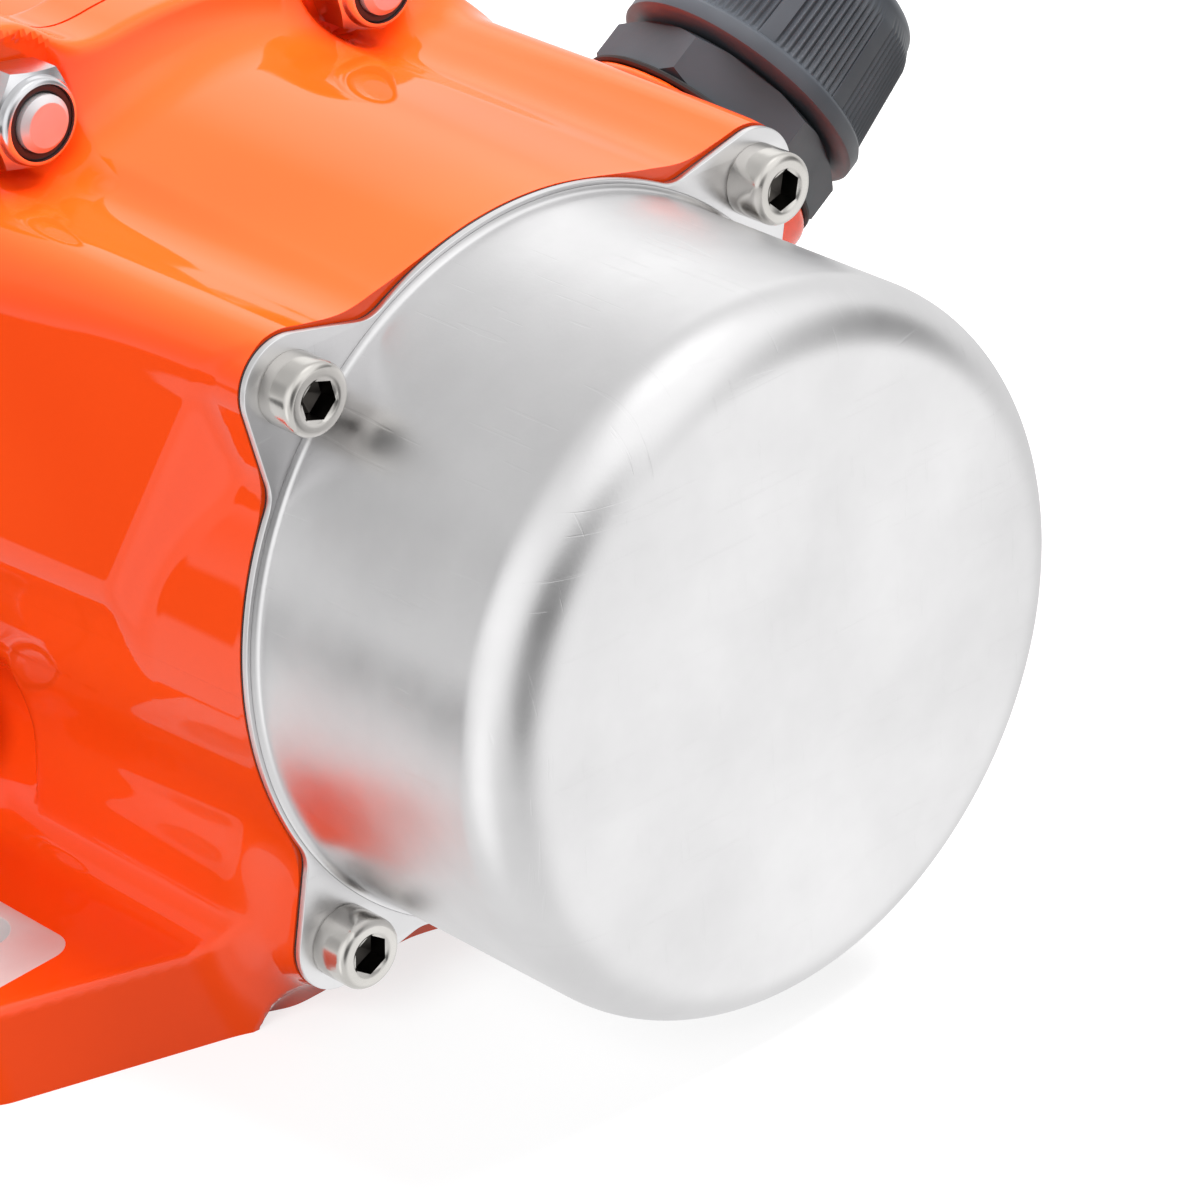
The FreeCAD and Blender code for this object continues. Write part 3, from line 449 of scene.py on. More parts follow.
# Each ear leans, and carries on as a rib whose top and flank are as far from the shaft.
EAR_TIP = 7.0
EAR_LEAN = math.radians(12.8)
EAR_X = math.sin(EAR_LEAN)
EAR_Z = math.cos(EAR_LEAN)
EAR_REACH = (EAR_Z - EAR_X) * SCREW_SIDE + EAR_TIP
RIB_ROOT = 20.0


def rib(x, z, side, rise):
    """One ear carried on as a rib, along the whole half."""
    cap = (-side * EAR_X, rise * EAR_Z, EAR_REACH)
    flank = (side * EAR_Z, -rise * EAR_X, EAR_REACH)
    inner = RIB_ROOT - (side * x + rise * z) / math.sqrt(2)
    return np.maximum(rounded_corner(x, z, cap, flank, EAR_TIP), inner)


# The side wall's place at the shaft's height in front, how it opens to the rear and leans in
# upwards, where its lower facet starts, and the slanting line, from (back, z) to (back, z),
# where its front facet starts.
SIDE_MIDDLE = 53.7
SIDE_FLARE = 0.068
SIDE_LEAN = 0.179
SIDE_LOW = 8.3
SIDE_LOW_TURN = math.radians(14.06)
SIDE_FRONT = ((9.0, 41.0), (22.0, 12.5))
SIDE_FRONT_TURN = math.radians(30.0)
SIDE_TIP = (7.0, 12.0)
SIDE_ROOT = 25.0
SIDE_BOTTOM = -9.0


def side_wall(x, back, z, side):
    """The flat wall between an upper rib and the middle, with bevelled front and lower edges."""
    out = side * x
    wall_out = SIDE_MIDDLE + SIDE_FLARE * back
    plane = (out - wall_out + SIDE_LEAN * z) / math.hypot(1.0, SIDE_LEAN, SIDE_FLARE)
    tip = SIDE_TIP[0] + (SIDE_TIP[1] - SIDE_TIP[0]) * smooth(back, 4.0, 66.0)
    lean = math.hypot(1.0, SIDE_LEAN)
    wall = (side / lean, SIDE_LEAN / lean, wall_out / lean)
    top = rounded_corner(x, z, (-side * EAR_X, EAR_Z, EAR_REACH), wall, tip)
    lower_out = out - wall_out + SIDE_LEAN * SIDE_LOW
    lower = math.cos(SIDE_LOW_TURN) * lower_out - math.sin(SIDE_LOW_TURN) * (z - SIDE_LOW)
    (back1, z1), (back2, z2) = SIDE_FRONT
    run = math.hypot(back2 - back1, z2 - z1)
    ahead = ((back - back1) * (z1 - z2) - (z1 - z) * (back2 - back1)) / run
    bevel = math.cos(SIDE_FRONT_TURN) * plane - math.sin(SIDE_FRONT_TURN) * ahead
    body = blend_off(top, plane, 1.0)
    body = blend_off(body, lower, 1.2)
    body = blend_off(body, bevel, 1.0)
    return np.maximum(body, np.maximum(SIDE_ROOT - out, SIDE_BOTTOM - z))


# The barrel's radius in front and at the back of its taper, and where the taper runs.
BARREL_FRONT = 51.0
BARREL_BACK = 53.2
TAPER_START = 2.0
TAPER_LENGTH = 66.0


def barrel(x, back, z):
    share = np.clip((back - TAPER_START) / TAPER_LENGTH, 0.0, 1.0)
    return np.hypot(x, z) - BARREL_FRONT - (BARREL_BACK - BARREL_FRONT) * share


LIP_RADIUS = 60.0
LIP_DEPTH = 8.0
LOBE_RADIUS = 11.0
LOBE_FILLET = 9.0


def lip(x, back, z):
    """The flange at the joint, with its lobes round the bolts."""
    outline = np.hypot(x, z) - LIP_RADIUS
    for bolt_x, bolt_z in BOLTS:
        outline = blend_in(outline, np.hypot(x - bolt_x, z - bolt_z) - LOBE_RADIUS, LOBE_FILLET)
    face = CAP_FACE - LIP_DEPTH - back
    return blend_off(outline, face, 2.0)


# The feet: how far back the front edge starts at the root, how it sweeps back outwards and
# drafts, and the slot's middle, half its straight stretch and its end's radius.
FOOT_SIDE = HOUSING_HIGH[0]
FOOT_TOP = 12.0
FOOT_CORNER = 5.0
FOOT_FRONT = 11.8
FOOT_ROOT = 49.0
FOOT_SWEEP = 0.322
FOOT_DRAFT = 0.317
FOOT_INNER = 47.0
FOOT_INNER_DRAFT = 0.35
SLOT_SIDE = 70.0
SLOT_MIDDLE = -34.0
SLOT_RADIUS = 4.5
SLOT_HALF = 3.0


def foot(x, back, z, side):
    """One foot, swept and drafted in front, with a round outer corner."""
    out = side * x
    height = z + AXIS
    front = FOOT_FRONT + FOOT_SWEEP * (out - FOOT_ROOT) - FOOT_DRAFT * (FOOT_TOP - height)
    ahead = (front - back) * 0.93
    plan = blend_off(ahead, out - FOOT_SIDE, FOOT_CORNER)
    inner = FOOT_INNER - out + FOOT_INNER_DRAFT * (FOOT_TOP / 2 - height)
    plan = blend_off(plan, inner, 1.0)
    return blend_off(plan, height - FOOT_TOP, 1.3)


WEB_FRONT = 9.0
WEB_OUTER = 46.6
WEB_INNER = 36.0
WEB_TOP = -26.0


def foot_web(x, back, z, side):
    """The wall that ties a foot to the barrel."""
    out = side * x
    block = blend_off(out - WEB_OUTER, z - WEB_TOP, 8.0)
    block = blend_off(block, WEB_FRONT - back, 7.0)
    return np.maximum(block, WEB_INNER - out)


def boss(x, y, z):
    """The round boss for the cable gland, with the distances from its line and along it."""
    dx = x - GLAND_BASE.x
    dy = y - GLAND_BASE.y
    dz = z + AXIS - GLAND_BASE.z
    along = dx * GLAND_AIM.x + dz * GLAND_AIM.z
    out = np.sqrt(np.maximum(dx * dx + dy * dy + dz * dz - along * along, 0.0))
    return blend_off(np.maximum(out - BOSS_RADIUS, -BOSS_DEPTH - along), along, 2.0), out, along


# Widths of the fillets where the housing's forms meet.
FILLET = {"rib": 9.0, "rib_side": 3.5, "side_wall": 1.5, "web": 9.0, "lip": 12.0, "foot": 6.0, "boss": 5.0}

# The rooms of the CAD housing, each with its radius, start and stop along the shaft.
# JOIN and OPEN run past the joint and the open end.
JOIN = 1.0
OPEN = -80.0
ROOMS = {
    "stator": (42.05, -28.05, JOIN),
    "winding": (40.5, -44.0, JOIN),
    "shaft": (16.9, OPEN, JOIN),
    "bearing": (20.03, OPEN, -48.0),
    "weights": (43.0, OPEN, -62.0),
}

# Holes: radii, how deep the screws' holes go, and the room for a tool at each nut.
# The lower nuts' bays are wider, and end where the barrel is closed in front of them.
SCREW_HOLE = 3.05
SCREW_DEPTH = 14.0
BOLT_HOLE = 4.3
GLAND_HOLE = 14.15
GLAND_HOLE_DEPTH = 36.0
SLOT_MARGIN = 0.8
SLOT_CEILING = -30.0
UPPER_BAY = 8.6
LOWER_BAY = 12.0
LOWER_BAY_FRONT = 54.0


def nut_bay(x, back, z, bolt):
    """The room in front of one nut's seat."""
    bolt_x, bolt_z = bolt
    seat = back - (CAP_FACE - LIP_DEPTH)
    if bolt_z > 0:
        return np.maximum(np.hypot(x - bolt_x, z - bolt_z) - UPPER_BAY, seat)
    round_bay = np.maximum(np.hypot(x - bolt_x, z - bolt_z) - LOWER_BAY, seat)
    return np.maximum(round_bay, LOWER_BAY_FRONT - back)


def housing_field(x, y, z, with_gland):
    """Distance to the front half's skin, negative inside; y runs back from the cap to the joint."""
    back = y + CAP_FACE
    body = barrel(x, back, z)
    rib_fillet = np.where(np.abs(z) > np.abs(x), FILLET["rib"], FILLET["rib_side"])
    for side, rise in CORNERS:
        body = blend_in(body, rib(x, z, side, rise), rib_fillet)
    for side in (-1, 1):
        body = blend_in(body, side_wall(x, back, z, side), FILLET["side_wall"])
        body = blend_in(body, foot_web(x, back, z, side), FILLET["web"])
    body = blend_in(body, lip(x, back, z), FILLET["lip"])
    for side in (-1, 1):
        body = blend_in(body, foot(x, back, z, side), FILLET["foot"])
    if with_gland:
        round_boss, out, along = boss(x, y, z)
        body = blend_in(body, round_boss, FILLET["boss"])
    for bolt in BOLTS:
        body = carve(body, nut_bay(x, back, z, bolt), 1.5 if bolt[1] > 0 else 3.0)
    body = bored(body, x, y, z)
    if with_gland:
        body = carve(body, np.maximum(out - GLAND_HOLE, -GLAND_HOLE_DEPTH - along))
    return body


def bored(body, x, y, z):
    """Cuts the rooms, seats and holes of the CAD housing."""
    out = np.hypot(x, z)
    for radius, start, stop in ROOMS.values():
        body = carve(body, np.maximum(out - radius, np.maximum(start - y, y - stop)))
    for side, rise in CORNERS:
        hole = np.hypot(x - side * SCREW_SIDE, z - rise * SCREW_SIDE) - SCREW_HOLE
        body = carve(body, np.maximum(hole, y + END - SCREW_DEPTH))
    for bolt_x, bolt_z in BOLTS:
        body = carve(body, np.hypot(x - bolt_x, z - bolt_z) - BOLT_HOLE)
    for side in (-1, 1):
        past = np.maximum(np.abs(y - SLOT_MIDDLE) - SLOT_HALF, 0.0)
        slot = np.hypot(side * x - SLOT_SIDE, past) - SLOT_RADIUS - SLOT_MARGIN
        body = carve(body, np.maximum(slot, z - SLOT_CEILING))
    return body


EDGES = [(corner, axis) for axis in range(3) for corner in
         [(0, 0, 0), (0, 0, 1), (0, 1, 0), (0, 1, 1), (1, 0, 0), (1, 0, 1), (1, 1, 0), (1, 1, 1)]
         if corner[axis] == 0]


def skin(field, low, high, step):
    """The points and quads of the surface where a distance field is zero."""
    margin = 2.3 * step
    lines = [np.arange(low[k] - margin, high[k] + margin, step) for k in range(3)]
    x, y, z = np.meshgrid(*lines, indexing="ij")
    value = field(x, y, z)
    inside = value < 0
    shape = [count - 1 for count in value.shape]

    def part(array, corner):
        return array[tuple(slice(corner[k], corner[k] + shape[k]) for k in range(3))]

    filled = np.zeros(shape, dtype=np.int8)
    for corner in [(i, j, k) for i in (0, 1) for j in (0, 1) for k in (0, 1)]:
        filled += part(inside, corner)
    active = (filled > 0) & (filled < 8)
    cells = np.argwhere(active)
    total = np.zeros((len(cells), 3))
    crossed = np.zeros(len(cells))
    for corner, axis in EDGES:
        far = list(corner)
        far[axis] = 1
        first = part(value, corner)[active]
        second = part(value, tuple(far))[active]
        cross = (first < 0) != (second < 0)
        share = np.where(cross, first / np.where(cross, first - second, 1.0), 0.0)
        for k in range(3):
            total[:, k] += cross * (corner[k] + (share if k == axis else 0.0))
        crossed += cross
    points = np.array([line[0] for line in lines]) + (cells + total / crossed[:, None]) * step
    number = -np.ones(shape, dtype=np.int64)
    number[active] = np.arange(len(cells))
    return settle(field, points, step), quads(inside, number)


def quads(inside, number):
    """One quad for each grid edge that the surface crosses."""
    made = []
    for axis in range(3):
        one, two = [k for k in range(3) if k != axis]
        here = [slice(1, -1)] * 3
        here[axis] = slice(0, -1)
        there = list(here)
        there[axis] = slice(1, None)
        a = inside[tuple(here)]
        b = inside[tuple(there)]
        cross = np.argwhere(a != b)
        flip = a[tuple(cross.T)]
        spot = cross.copy()
        spot[:, one] += 1
        spot[:, two] += 1
        ring = []
        for first, second in ((-1, -1), (0, -1), (0, 0), (-1, 0)):
            cell = spot.copy()
            cell[:, one] += first
            cell[:, two] += second
            ring.append(number[tuple(cell.T)])
        ring = np.array(ring).T
        turned = flip if axis != 1 else ~flip
        ring[~turned] = ring[~turned][:, ::-1]
        made.append(ring)
    return np.concatenate(made)


def settle(field, points, step):
    """Moves points on to the surface where the field is zero."""
    points = points.copy()
    for _ in range(4):
        value = field(*points.T)
        slope = slope_at(field, points)
        size = np.maximum((slope ** 2).sum(axis=1), 0.05)
        move = -(value / size)[:, None] * slope
        points += np.clip(move, -0.35 * step, 0.35 * step)
    return points


# The flat cuts at the base, the joint and the open end: a point and the side to clear.
CUTS = (((0, 0, -AXIS), (0, 0, -1)), ((0, -JOINT, 0), (0, 1, 0)), ((0, -FRONT, 0), (0, -1, 0)))
PAST_CUT = 4.0
SKIN_STEP = 0.9


def quad_mesh(name, points, faces):
    """A mesh of quads, from arrays of points in millimetres and of their numbers."""
    mesh = bpy.data.meshes.new(name)
    mesh.vertices.add(len(points))
    mesh.vertices.foreach_set("co", (points * MM).astype(np.float32).ravel())
    mesh.loops.add(faces.size)
    mesh.polygons.add(len(faces))
    mesh.loops.foreach_set("vertex_index", faces.astype(np.int32).ravel())
    mesh.polygons.foreach_set("loop_start", np.arange(0, faces.size, 4, dtype=np.int32))
    mesh.update()
    mesh.validate()
    return mesh


def cut_flat(mesh, facing):
    """Cuts a half's skin at its flat ends, fills them, and puts it in the motor's place."""
    work = bmesh.new()
    work.from_mesh(mesh)
    for point, away in CUTS:
        every = work.verts[:] + work.edges[:] + work.faces[:]
        cut = bmesh.ops.bisect_plane(work, geom=every, plane_co=Vector(point) * MM, plane_no=away,
                                     dist=1e-6, clear_outer=True)
        rim = [item for item in cut["geom_cut"] if isinstance(item, bmesh.types.BMEdge)]
        bmesh.ops.triangle_fill(work, use_beauty=True, edges=rim, normal=away)
    for vertex in work.verts:
        vertex.co.z += AXIS * MM
        vertex.co.y *= facing
    work.to_mesh(mesh)
    work.free()


def make_housing(name, with_gland):
    """The skin of one housing half; the rear half is the front one turned to the rear."""
    facing = 1.0 if with_gland else -1.0
    room = PAST_CUT + 2.0
    low = (-FOOT_SIDE, -FRONT - room, -AXIS - room)
    high = (FOOT_SIDE, -JOINT + room, UPPER_BOLT[1] + LOBE_RADIUS)

    def field(x, y, z):
        return housing_field(x, y, z, with_gland)

    def shut(x, y, z):
        """The housing's field, shut a little way past each flat cut."""
        ends = np.maximum(np.maximum(y + JOINT, -AXIS - z), -FRONT - y) - PAST_CUT
        return np.maximum(field(x, y, z), ends)

    mesh = quad_mesh(name, *skin(shut, low, high, SKIN_STEP))
    cut_flat(mesh, facing)
    piece = add_piece(name, mesh, "housing_paint")
    shade(piece, 42.0)
    true_normals(mesh, field, facing)
    return piece


SHARP = math.radians(24)


def true_normals(mesh, field, facing):
    """Shades a skin by the slope of its distance field, except next to sharp edges."""
    points = np.zeros(len(mesh.vertices) * 3)
    mesh.vertices.foreach_get("co", points)
    points = points.reshape(-1, 3) / MM
    points[:, 1] *= facing
    points[:, 2] -= AXIS
    slope = slope_at(field, points)
    slope /= np.maximum(np.linalg.norm(slope, axis=1), 1e-9)[:, None]
    slope[:, 1] *= facing
    corner = np.zeros(len(mesh.loops), dtype=np.int64)
    mesh.loops.foreach_get("vertex_index", corner)
    flat = np.zeros(len(mesh.polygons) * 3)
    mesh.polygons.foreach_get("normal", flat)
    sides = np.zeros(len(mesh.polygons), dtype=np.int64)
    mesh.polygons.foreach_get("loop_total", sides)
    flat = np.repeat(flat.reshape(-1, 3), sides, axis=0)
    wanted = slope[corner]
    away = (wanted * flat).sum(axis=1) < math.cos(SHARP)
    wanted[away] = flat[away]
    mesh.normals_split_custom_set(wanted.tolist())


def slope_at(field, points):
    """The gradient of a distance field at some points."""
    small = 0.02
    x, y, z = points.T
    return np.stack([
        field(x + small, y, z) - field(x - small, y, z),
        field(x, y + small, z) - field(x, y - small, z),
        field(x, y, z + small) - field(x, y, z - small)], axis=1) / (2 * small)


# ---------------------------------------------------------------- flat sheets

EAR_FILLET = 1.5
EAR_RAY = (40.0, 75.0)


def ear_outline(grow=0.0, count=720):
    """The outline of the cap's flange with its four ears, as (x, z) points.

    Each point is found by halving the stretch of a ray in which the outline lies.
    """
    angle = np.arange(count) * 2 * math.pi / count
    near = np.full(count, EAR_RAY[0])
    far = np.full(count, EAR_RAY[1])
    for _ in range(40):
        middle = (near + far) / 2
        x = middle * np.cos(angle)
        z = middle * np.sin(angle)
        field = np.hypot(x, z) - BARREL_FRONT
        for side, rise in CORNERS:
            field = blend_in(field, rib(x, z, side, rise), EAR_FILLET)
        inside = field < grow
        near = np.where(inside, middle, near)
        far = np.where(inside, far, middle)
    return list(zip(near * np.cos(angle), near * np.sin(angle)))


def ring_points(x, z, radius, count=64):
    angles = [2 * math.pi * step / count for step in range(count)]
    return [(x + radius * math.cos(angle), z + radius * math.sin(angle)) for angle in angles]


def flat_sheet(name, loops, start, thick, bevel, material):
    """A sheet across the shaft, cut to an outline with holes."""
    upright = Matrix.Rotation(math.pi / 2, 4, "X")
    place = Matrix.Translation((0, (start + thick / 2) * MM, AXIS * MM)) @ upright
    return cut_sheet(name, loops, thick, bevel, place, material)


def cut_sheet(name, loops, thick, bevel, place, material, slot=None):
    """A flat piece with an outline and holes, and a small bevel all round."""
    curve = bpy.data.curves.new(name, "CURVE")
    curve.dimensions = "2D"
    curve.fill_mode = "BOTH"
    curve.extrude = (thick / 2 - bevel) * MM
    curve.bevel_depth = bevel * MM
    curve.offset = -bevel * MM
    curve.bevel_resolution = 2
    for loop in loops:
        spline = curve.splines.new("POLY")
        spline.points.add(len(loop) - 1)
        for point, (x, z) in zip(spline.points, loop):
            point.co = (x * MM, z * MM, 0, 1)
        spline.use_cyclic_u = True
    drawn = bpy.data.objects.new(name, curve)
    bpy.context.scene.collection.objects.link(drawn)
    bpy.context.view_layer.update()
    mesh = bpy.data.meshes.new_from_object(drawn.evaluated_get(bpy.context.evaluated_depsgraph_get()))
    bpy.data.objects.remove(drawn)
    mesh.transform(place)
    piece = add_piece(name, mesh, material, slot=slot)
    weld(piece)
    shade(piece, 50.0)
    return piece


def rounded_polygon(corners, radii, steps=10):
    """A polygon's outline with its corners rounded, given anticlockwise."""
    made = []
    for number, radius in enumerate(radii):
        here = Vector(corners[number])
        back = (Vector(corners[number - 1]) - here).normalized()
        ahead = (Vector(corners[(number + 1) % len(corners)]) - here).normalized()
        half = back.angle(ahead) / 2
        reach = radius / math.tan(half)
        first, last = here + back * reach, here + ahead * reach
        middle = here + (back + ahead).normalized() * (radius / math.sin(half))
        for step in range(steps + 1):
            spot = (first.lerp(last, step / steps) - middle).normalized() * radius + middle
            made.append(tuple(spot))
    return made


# The seats' edges, from the shaft's line outwards and from the joint forward.
SEAT_INNER = 63.0
SEAT_OUTER = 84.0
SEAT_FRONT = 49.5
SEAT_SWEEP = 1.2
SEAT_BACK = 18.5
SEAT_LIFT = 0.03
SEAT_BEVEL = 0.08


def slot_outline(x, y, steps=32):
    """A slot with round ends, long from front to rear, about a middle."""
    made = []
    for half, turn in ((1, 0), (-1, 1)):
        for step in range(steps + 1):
            angle = math.pi * (step / steps + turn)
            end_y = y + half * SLOT_HALF
            made.append((x + SLOT_RADIUS * math.cos(angle), end_y + SLOT_RADIUS * math.sin(angle)))
    return made


def make_seats(name, end):
    """The bare milled seats round the slots of one half's feet."""
    made = []
    for side, word in ((-1, "left"), (1, "right")):
        inner, outer = side * SEAT_INNER, side * SEAT_OUTER
        near, far = end * SEAT_FRONT, end * SEAT_BACK
        corners = [(inner, near), (outer, near + end * SEAT_SWEEP), (outer, far), (inner, far)]
        outline = rounded_polygon(corners, (4.0, 1.0, 1.0, 4.0))
        slot = slot_outline(side * SLOT_SIDE, -end * SLOT_MIDDLE)
        place = Matrix.Translation((0, 0, (FOOT_TOP / 2 + SEAT_LIFT) * MM))
        made.append(cut_sheet(name + "_" + word, [outline, slot], FOOT_TOP, SEAT_BEVEL, place,
                              "bare_metal", slot="housing_paint"))
    return made


def weld(piece):
    work = bmesh.new()
    work.from_mesh(piece.data)
    bmesh.ops.remove_doubles(work, verts=work.verts, dist=1e-6)
    work.to_mesh(piece.data)
    work.free()


def screw_holes():
    return [ring_points(side * SCREW_SIDE, rise * SCREW_SIDE, SHEET_HOLE) for side, rise in CORNERS]


# ---------------------------------------------------------------- end caps

# The cup's radius, depth and corner, the radius of its root at the flange, and the
# height of the slight crown of its end.
CAP_RADIUS = 49.5
CAP_CORNER = 8.5
CAP_DEPTH = -CAP_LOW[1] - CAP_FACE
CAP_ROOT = 0.9
CAP_CROWN = 0.08
CAP_STEPS = 256
SHEET_HOLE = 3.3
FLANGE_BEVEL = 0.12
GASKET_BEVEL = 0.08
GASKET_INSET = 0.15


def cup(sign):
    """The drawn cup, turned about the shaft."""
    flat = CAP_DEPTH - CAP_CROWN - CAP_CORNER
    inner = CAP_RADIUS - SHEET
    root = CAP_RADIUS + CAP_ROOT
    profile = [(CAP_DEPTH - CAP_CROWN - SHEET, 0.0)]
    profile += arc((flat, CAP_RADIUS - CAP_CORNER), CAP_CORNER - SHEET, 0, 90, 10)
    profile += [(20.0, inner), (-SHEET, inner), (-SHEET, root), (0.0, root)]
    profile += arc((CAP_ROOT, root), CAP_ROOT, 180, 270, 5)[1:]
    profile += [(8.0, CAP_RADIUS), (18.0, CAP_RADIUS), (28.0, CAP_RADIUS)]
    profile += arc((flat, CAP_RADIUS - CAP_CORNER), CAP_CORNER, 90, 0, 20)
    profile += [(CAP_DEPTH - 0.03, 30.0), (CAP_DEPTH, 15.0), (CAP_DEPTH, 0.0)]
    base = Vector((0, sign * CAP_FACE, AXIS))
    return lathe(profile, base, (0, sign, 0), CAP_STEPS)


def make_cap(name, sign):
    """One end cap: the cup, and its flat flange with four ears."""
    piece = finish_mesh(name, *cup(sign), ["cap_steel"], sharp=50.0)
    start = -CAP_FACE if sign < 0 else CAP_FACE - SHEET
    loops = [ear_outline(), ring_points(0, 0, CAP_RADIUS + CAP_ROOT, CAP_STEPS)] + screw_holes()
    flange = flat_sheet(name + "_flange", loops, start, SHEET, FLANGE_BEVEL, "cap_steel")
    return [piece, flange]


def make_cap_gasket(name, sign):
    """The stretch of one gasket that the paint leaves bare."""
    thick = END + GASKET - FRONT
    start = -END - GASKET if sign < 0 else FRONT
    loops = [ear_outline(-GASKET_INSET), ring_points(0, 0, CAP_RADIUS - SHEET, CAP_STEPS)] + screw_holes()
    return flat_sheet(name, loops, start, thick, GASKET_BEVEL, "gasket_sheet")


# ---------------------------------------------------------------- fasteners

def hexagon_reach(flats, angle, roll):
    """Distance from the centre to a hexagon's side, with a corner at the roll angle."""
    turn = (angle - roll) % (math.pi / 3) - math.pi / 6
    return flats / 2 / math.cos(turn)


def hexagon_rows(flats, roll, low, high, face_low, face_high):
    """Rows of a hexagon whose corners are cut by a cone at each end."""
    slope = math.tan(math.radians(30))

    def lower(angle):
        out = hexagon_reach(flats, angle, roll)
        return low + max(out - face_low, 0.0) * slope, out

    def upper(angle):
        out = hexagon_reach(flats, angle, roll)
        return high - max(out - face_high, 0.0) * slope, out

    return [(low, face_low), lower, upper, (high, face_high)]


# The M6 cap screws: their shank, their head's radius, height and rounded rim, and their key.
SCREW_RADIUS = 3.0
SCREW_REACH = 14.0
SCREW_HEAD = 5.0
SCREW_HEIGHT = 6.0
SCREW_RIM = 1.1
SOCKET = 5.0
SOCKET_FLOOR = 1.9


def socket_screw(x, z, sign, roll):
    """A socket head screw, seated on the cap's flange."""
    def key(share, along):
        return lambda angle: (along, share * hexagon_reach(SOCKET, angle, roll))

    rim = (SCREW_HEIGHT - SCREW_RIM, SCREW_HEAD - SCREW_RIM)
    top = SCREW_HEIGHT
    profile = [(-SCREW_REACH, 0.0), (-SCREW_REACH, SCREW_RADIUS - 0.5), (0.5 - SCREW_REACH, SCREW_RADIUS)]
    profile += [(-0.02, SCREW_RADIUS), (-0.02, SCREW_HEAD - 0.25), (0.15, SCREW_HEAD - 0.05)]
    profile += [(0.35, SCREW_HEAD), (2.5, SCREW_HEAD), (top - 1.4, SCREW_HEAD)]
    profile += arc(rim, SCREW_RIM, 90, 0, 7)[1:-1]
    profile += [(top, 3.95), (top, 3.5), (top, 3.15), (top - 0.15, 2.95)]
    profile += [key(1.0, 5.72), key(0.995, 4.2), key(0.99, 2.9), key(0.5, 2.3), (SOCKET_FLOOR, 0.0)]
    return lathe(profile, Vector((x, sign * CAP_FACE, z + AXIS)), (0, sign, 0), 96, start=roll)


def make_cap_screws():
    """All eight screws, with the walls of their sockets painted dark as shade."""
    meshes = []
    for number, (side, rise) in enumerate(CORNERS):
        for sign in (-1, 1):
            roll = math.radians(17.0 * number + 5.0 * sign)
            meshes.append(socket_screw(side * SCREW_SIDE, rise * SCREW_SIDE, sign, roll))
    piece = finish_mesh("cap_screws_turned", *combine(*meshes), ["screw_steel", "socket_shade"], sharp=38.0)
    # Faces inside each socket get the dark material, painted shade.
    for face in piece.data.polygons:
        along = abs(face.center.y) / MM - CAP_FACE
        x = abs(face.center.x) / MM - SCREW_SIDE
        z = abs(face.center.z / MM - AXIS) - SCREW_SIDE
        if 1.0 < along < 5.5 and math.hypot(x, z) < SCREW_RADIUS:
            face.material_index = 1
    return piece


# The M8 lock nuts: flats, height of the hexagon and of the whole, bore, and the collar
# round the nylon ring, outside and inside.
NUT_FLATS = 13.0
NUT_HEX = 6.3
NUT_HEIGHT = 8.0
NUT_BORE = 4.05
COLLAR_OUTER = 6.05
COLLAR_INNER = 5.15
INSERT_START = 6.4


def lock_nut(x, z, roll):
    """A hexagon nut with a rolled collar, seated on the joint's flange."""
    profile = [(0.0, NUT_BORE)] + hexagon_rows(NUT_FLATS, roll, 0.0, NUT_HEX, 6.1, 6.15)
    profile += [(NUT_HEIGHT - 0.9, COLLAR_OUTER)]
    profile += arc((NUT_HEIGHT - 0.9, COLLAR_INNER), 0.9, 85, 10, 6)
    profile += [(NUT_HEIGHT, COLLAR_INNER + 0.1), (NUT_HEIGHT - 0.25, COLLAR_INNER)]
    profile += [(INSERT_START, COLLAR_INNER), (INSERT_START, NUT_BORE)]
    return lathe(profile, Vector((x, -LIP_DEPTH, z + AXIS)), (0, -1, 0), 96, start=roll)


def make_nuts():
    rolls = (0.35, 0.2, 0.5, 0.1)
    meshes = [lock_nut(x, z, roll) for (x, z), roll in zip(BOLTS, rolls)]
    return finish_mesh("flange_nuts_formed", *combine(*meshes), ["zinc_plate"], sharp=24.0)


def make_inserts():
    """The locking rings inside the nuts' collars."""
    meshes = []
    for x, z in BOLTS:
        profile = [(INSERT_START + 0.05, NUT_BORE - 0.03), (INSERT_START + 0.05, COLLAR_INNER - 0.03)]
        profile += arc((7.35, 4.85), 0.28, 90, 0, 4)
        profile += [(7.63, 4.35)] + arc((7.3, 4.35), 0.32, 0, -90, 3)
        meshes.append(lathe(profile, Vector((x, -LIP_DEPTH, z + AXIS)), (0, -1, 0), 72))
    return finish_mesh("nut_inserts_moulded", *combine(*meshes), ["insert_nylon"])


# The M8 bolts: shank, head, where the thread starts, its pitch and root, and the stretch
# that stands out of the nut.
BOLT_RADIUS = 4.0
BOLT_HEAD = 5.3
THREAD_START = 12.0
THREAD_PITCH = 1.25
THREAD_ROOT = 3.4
BOLT_PAST = 1.2


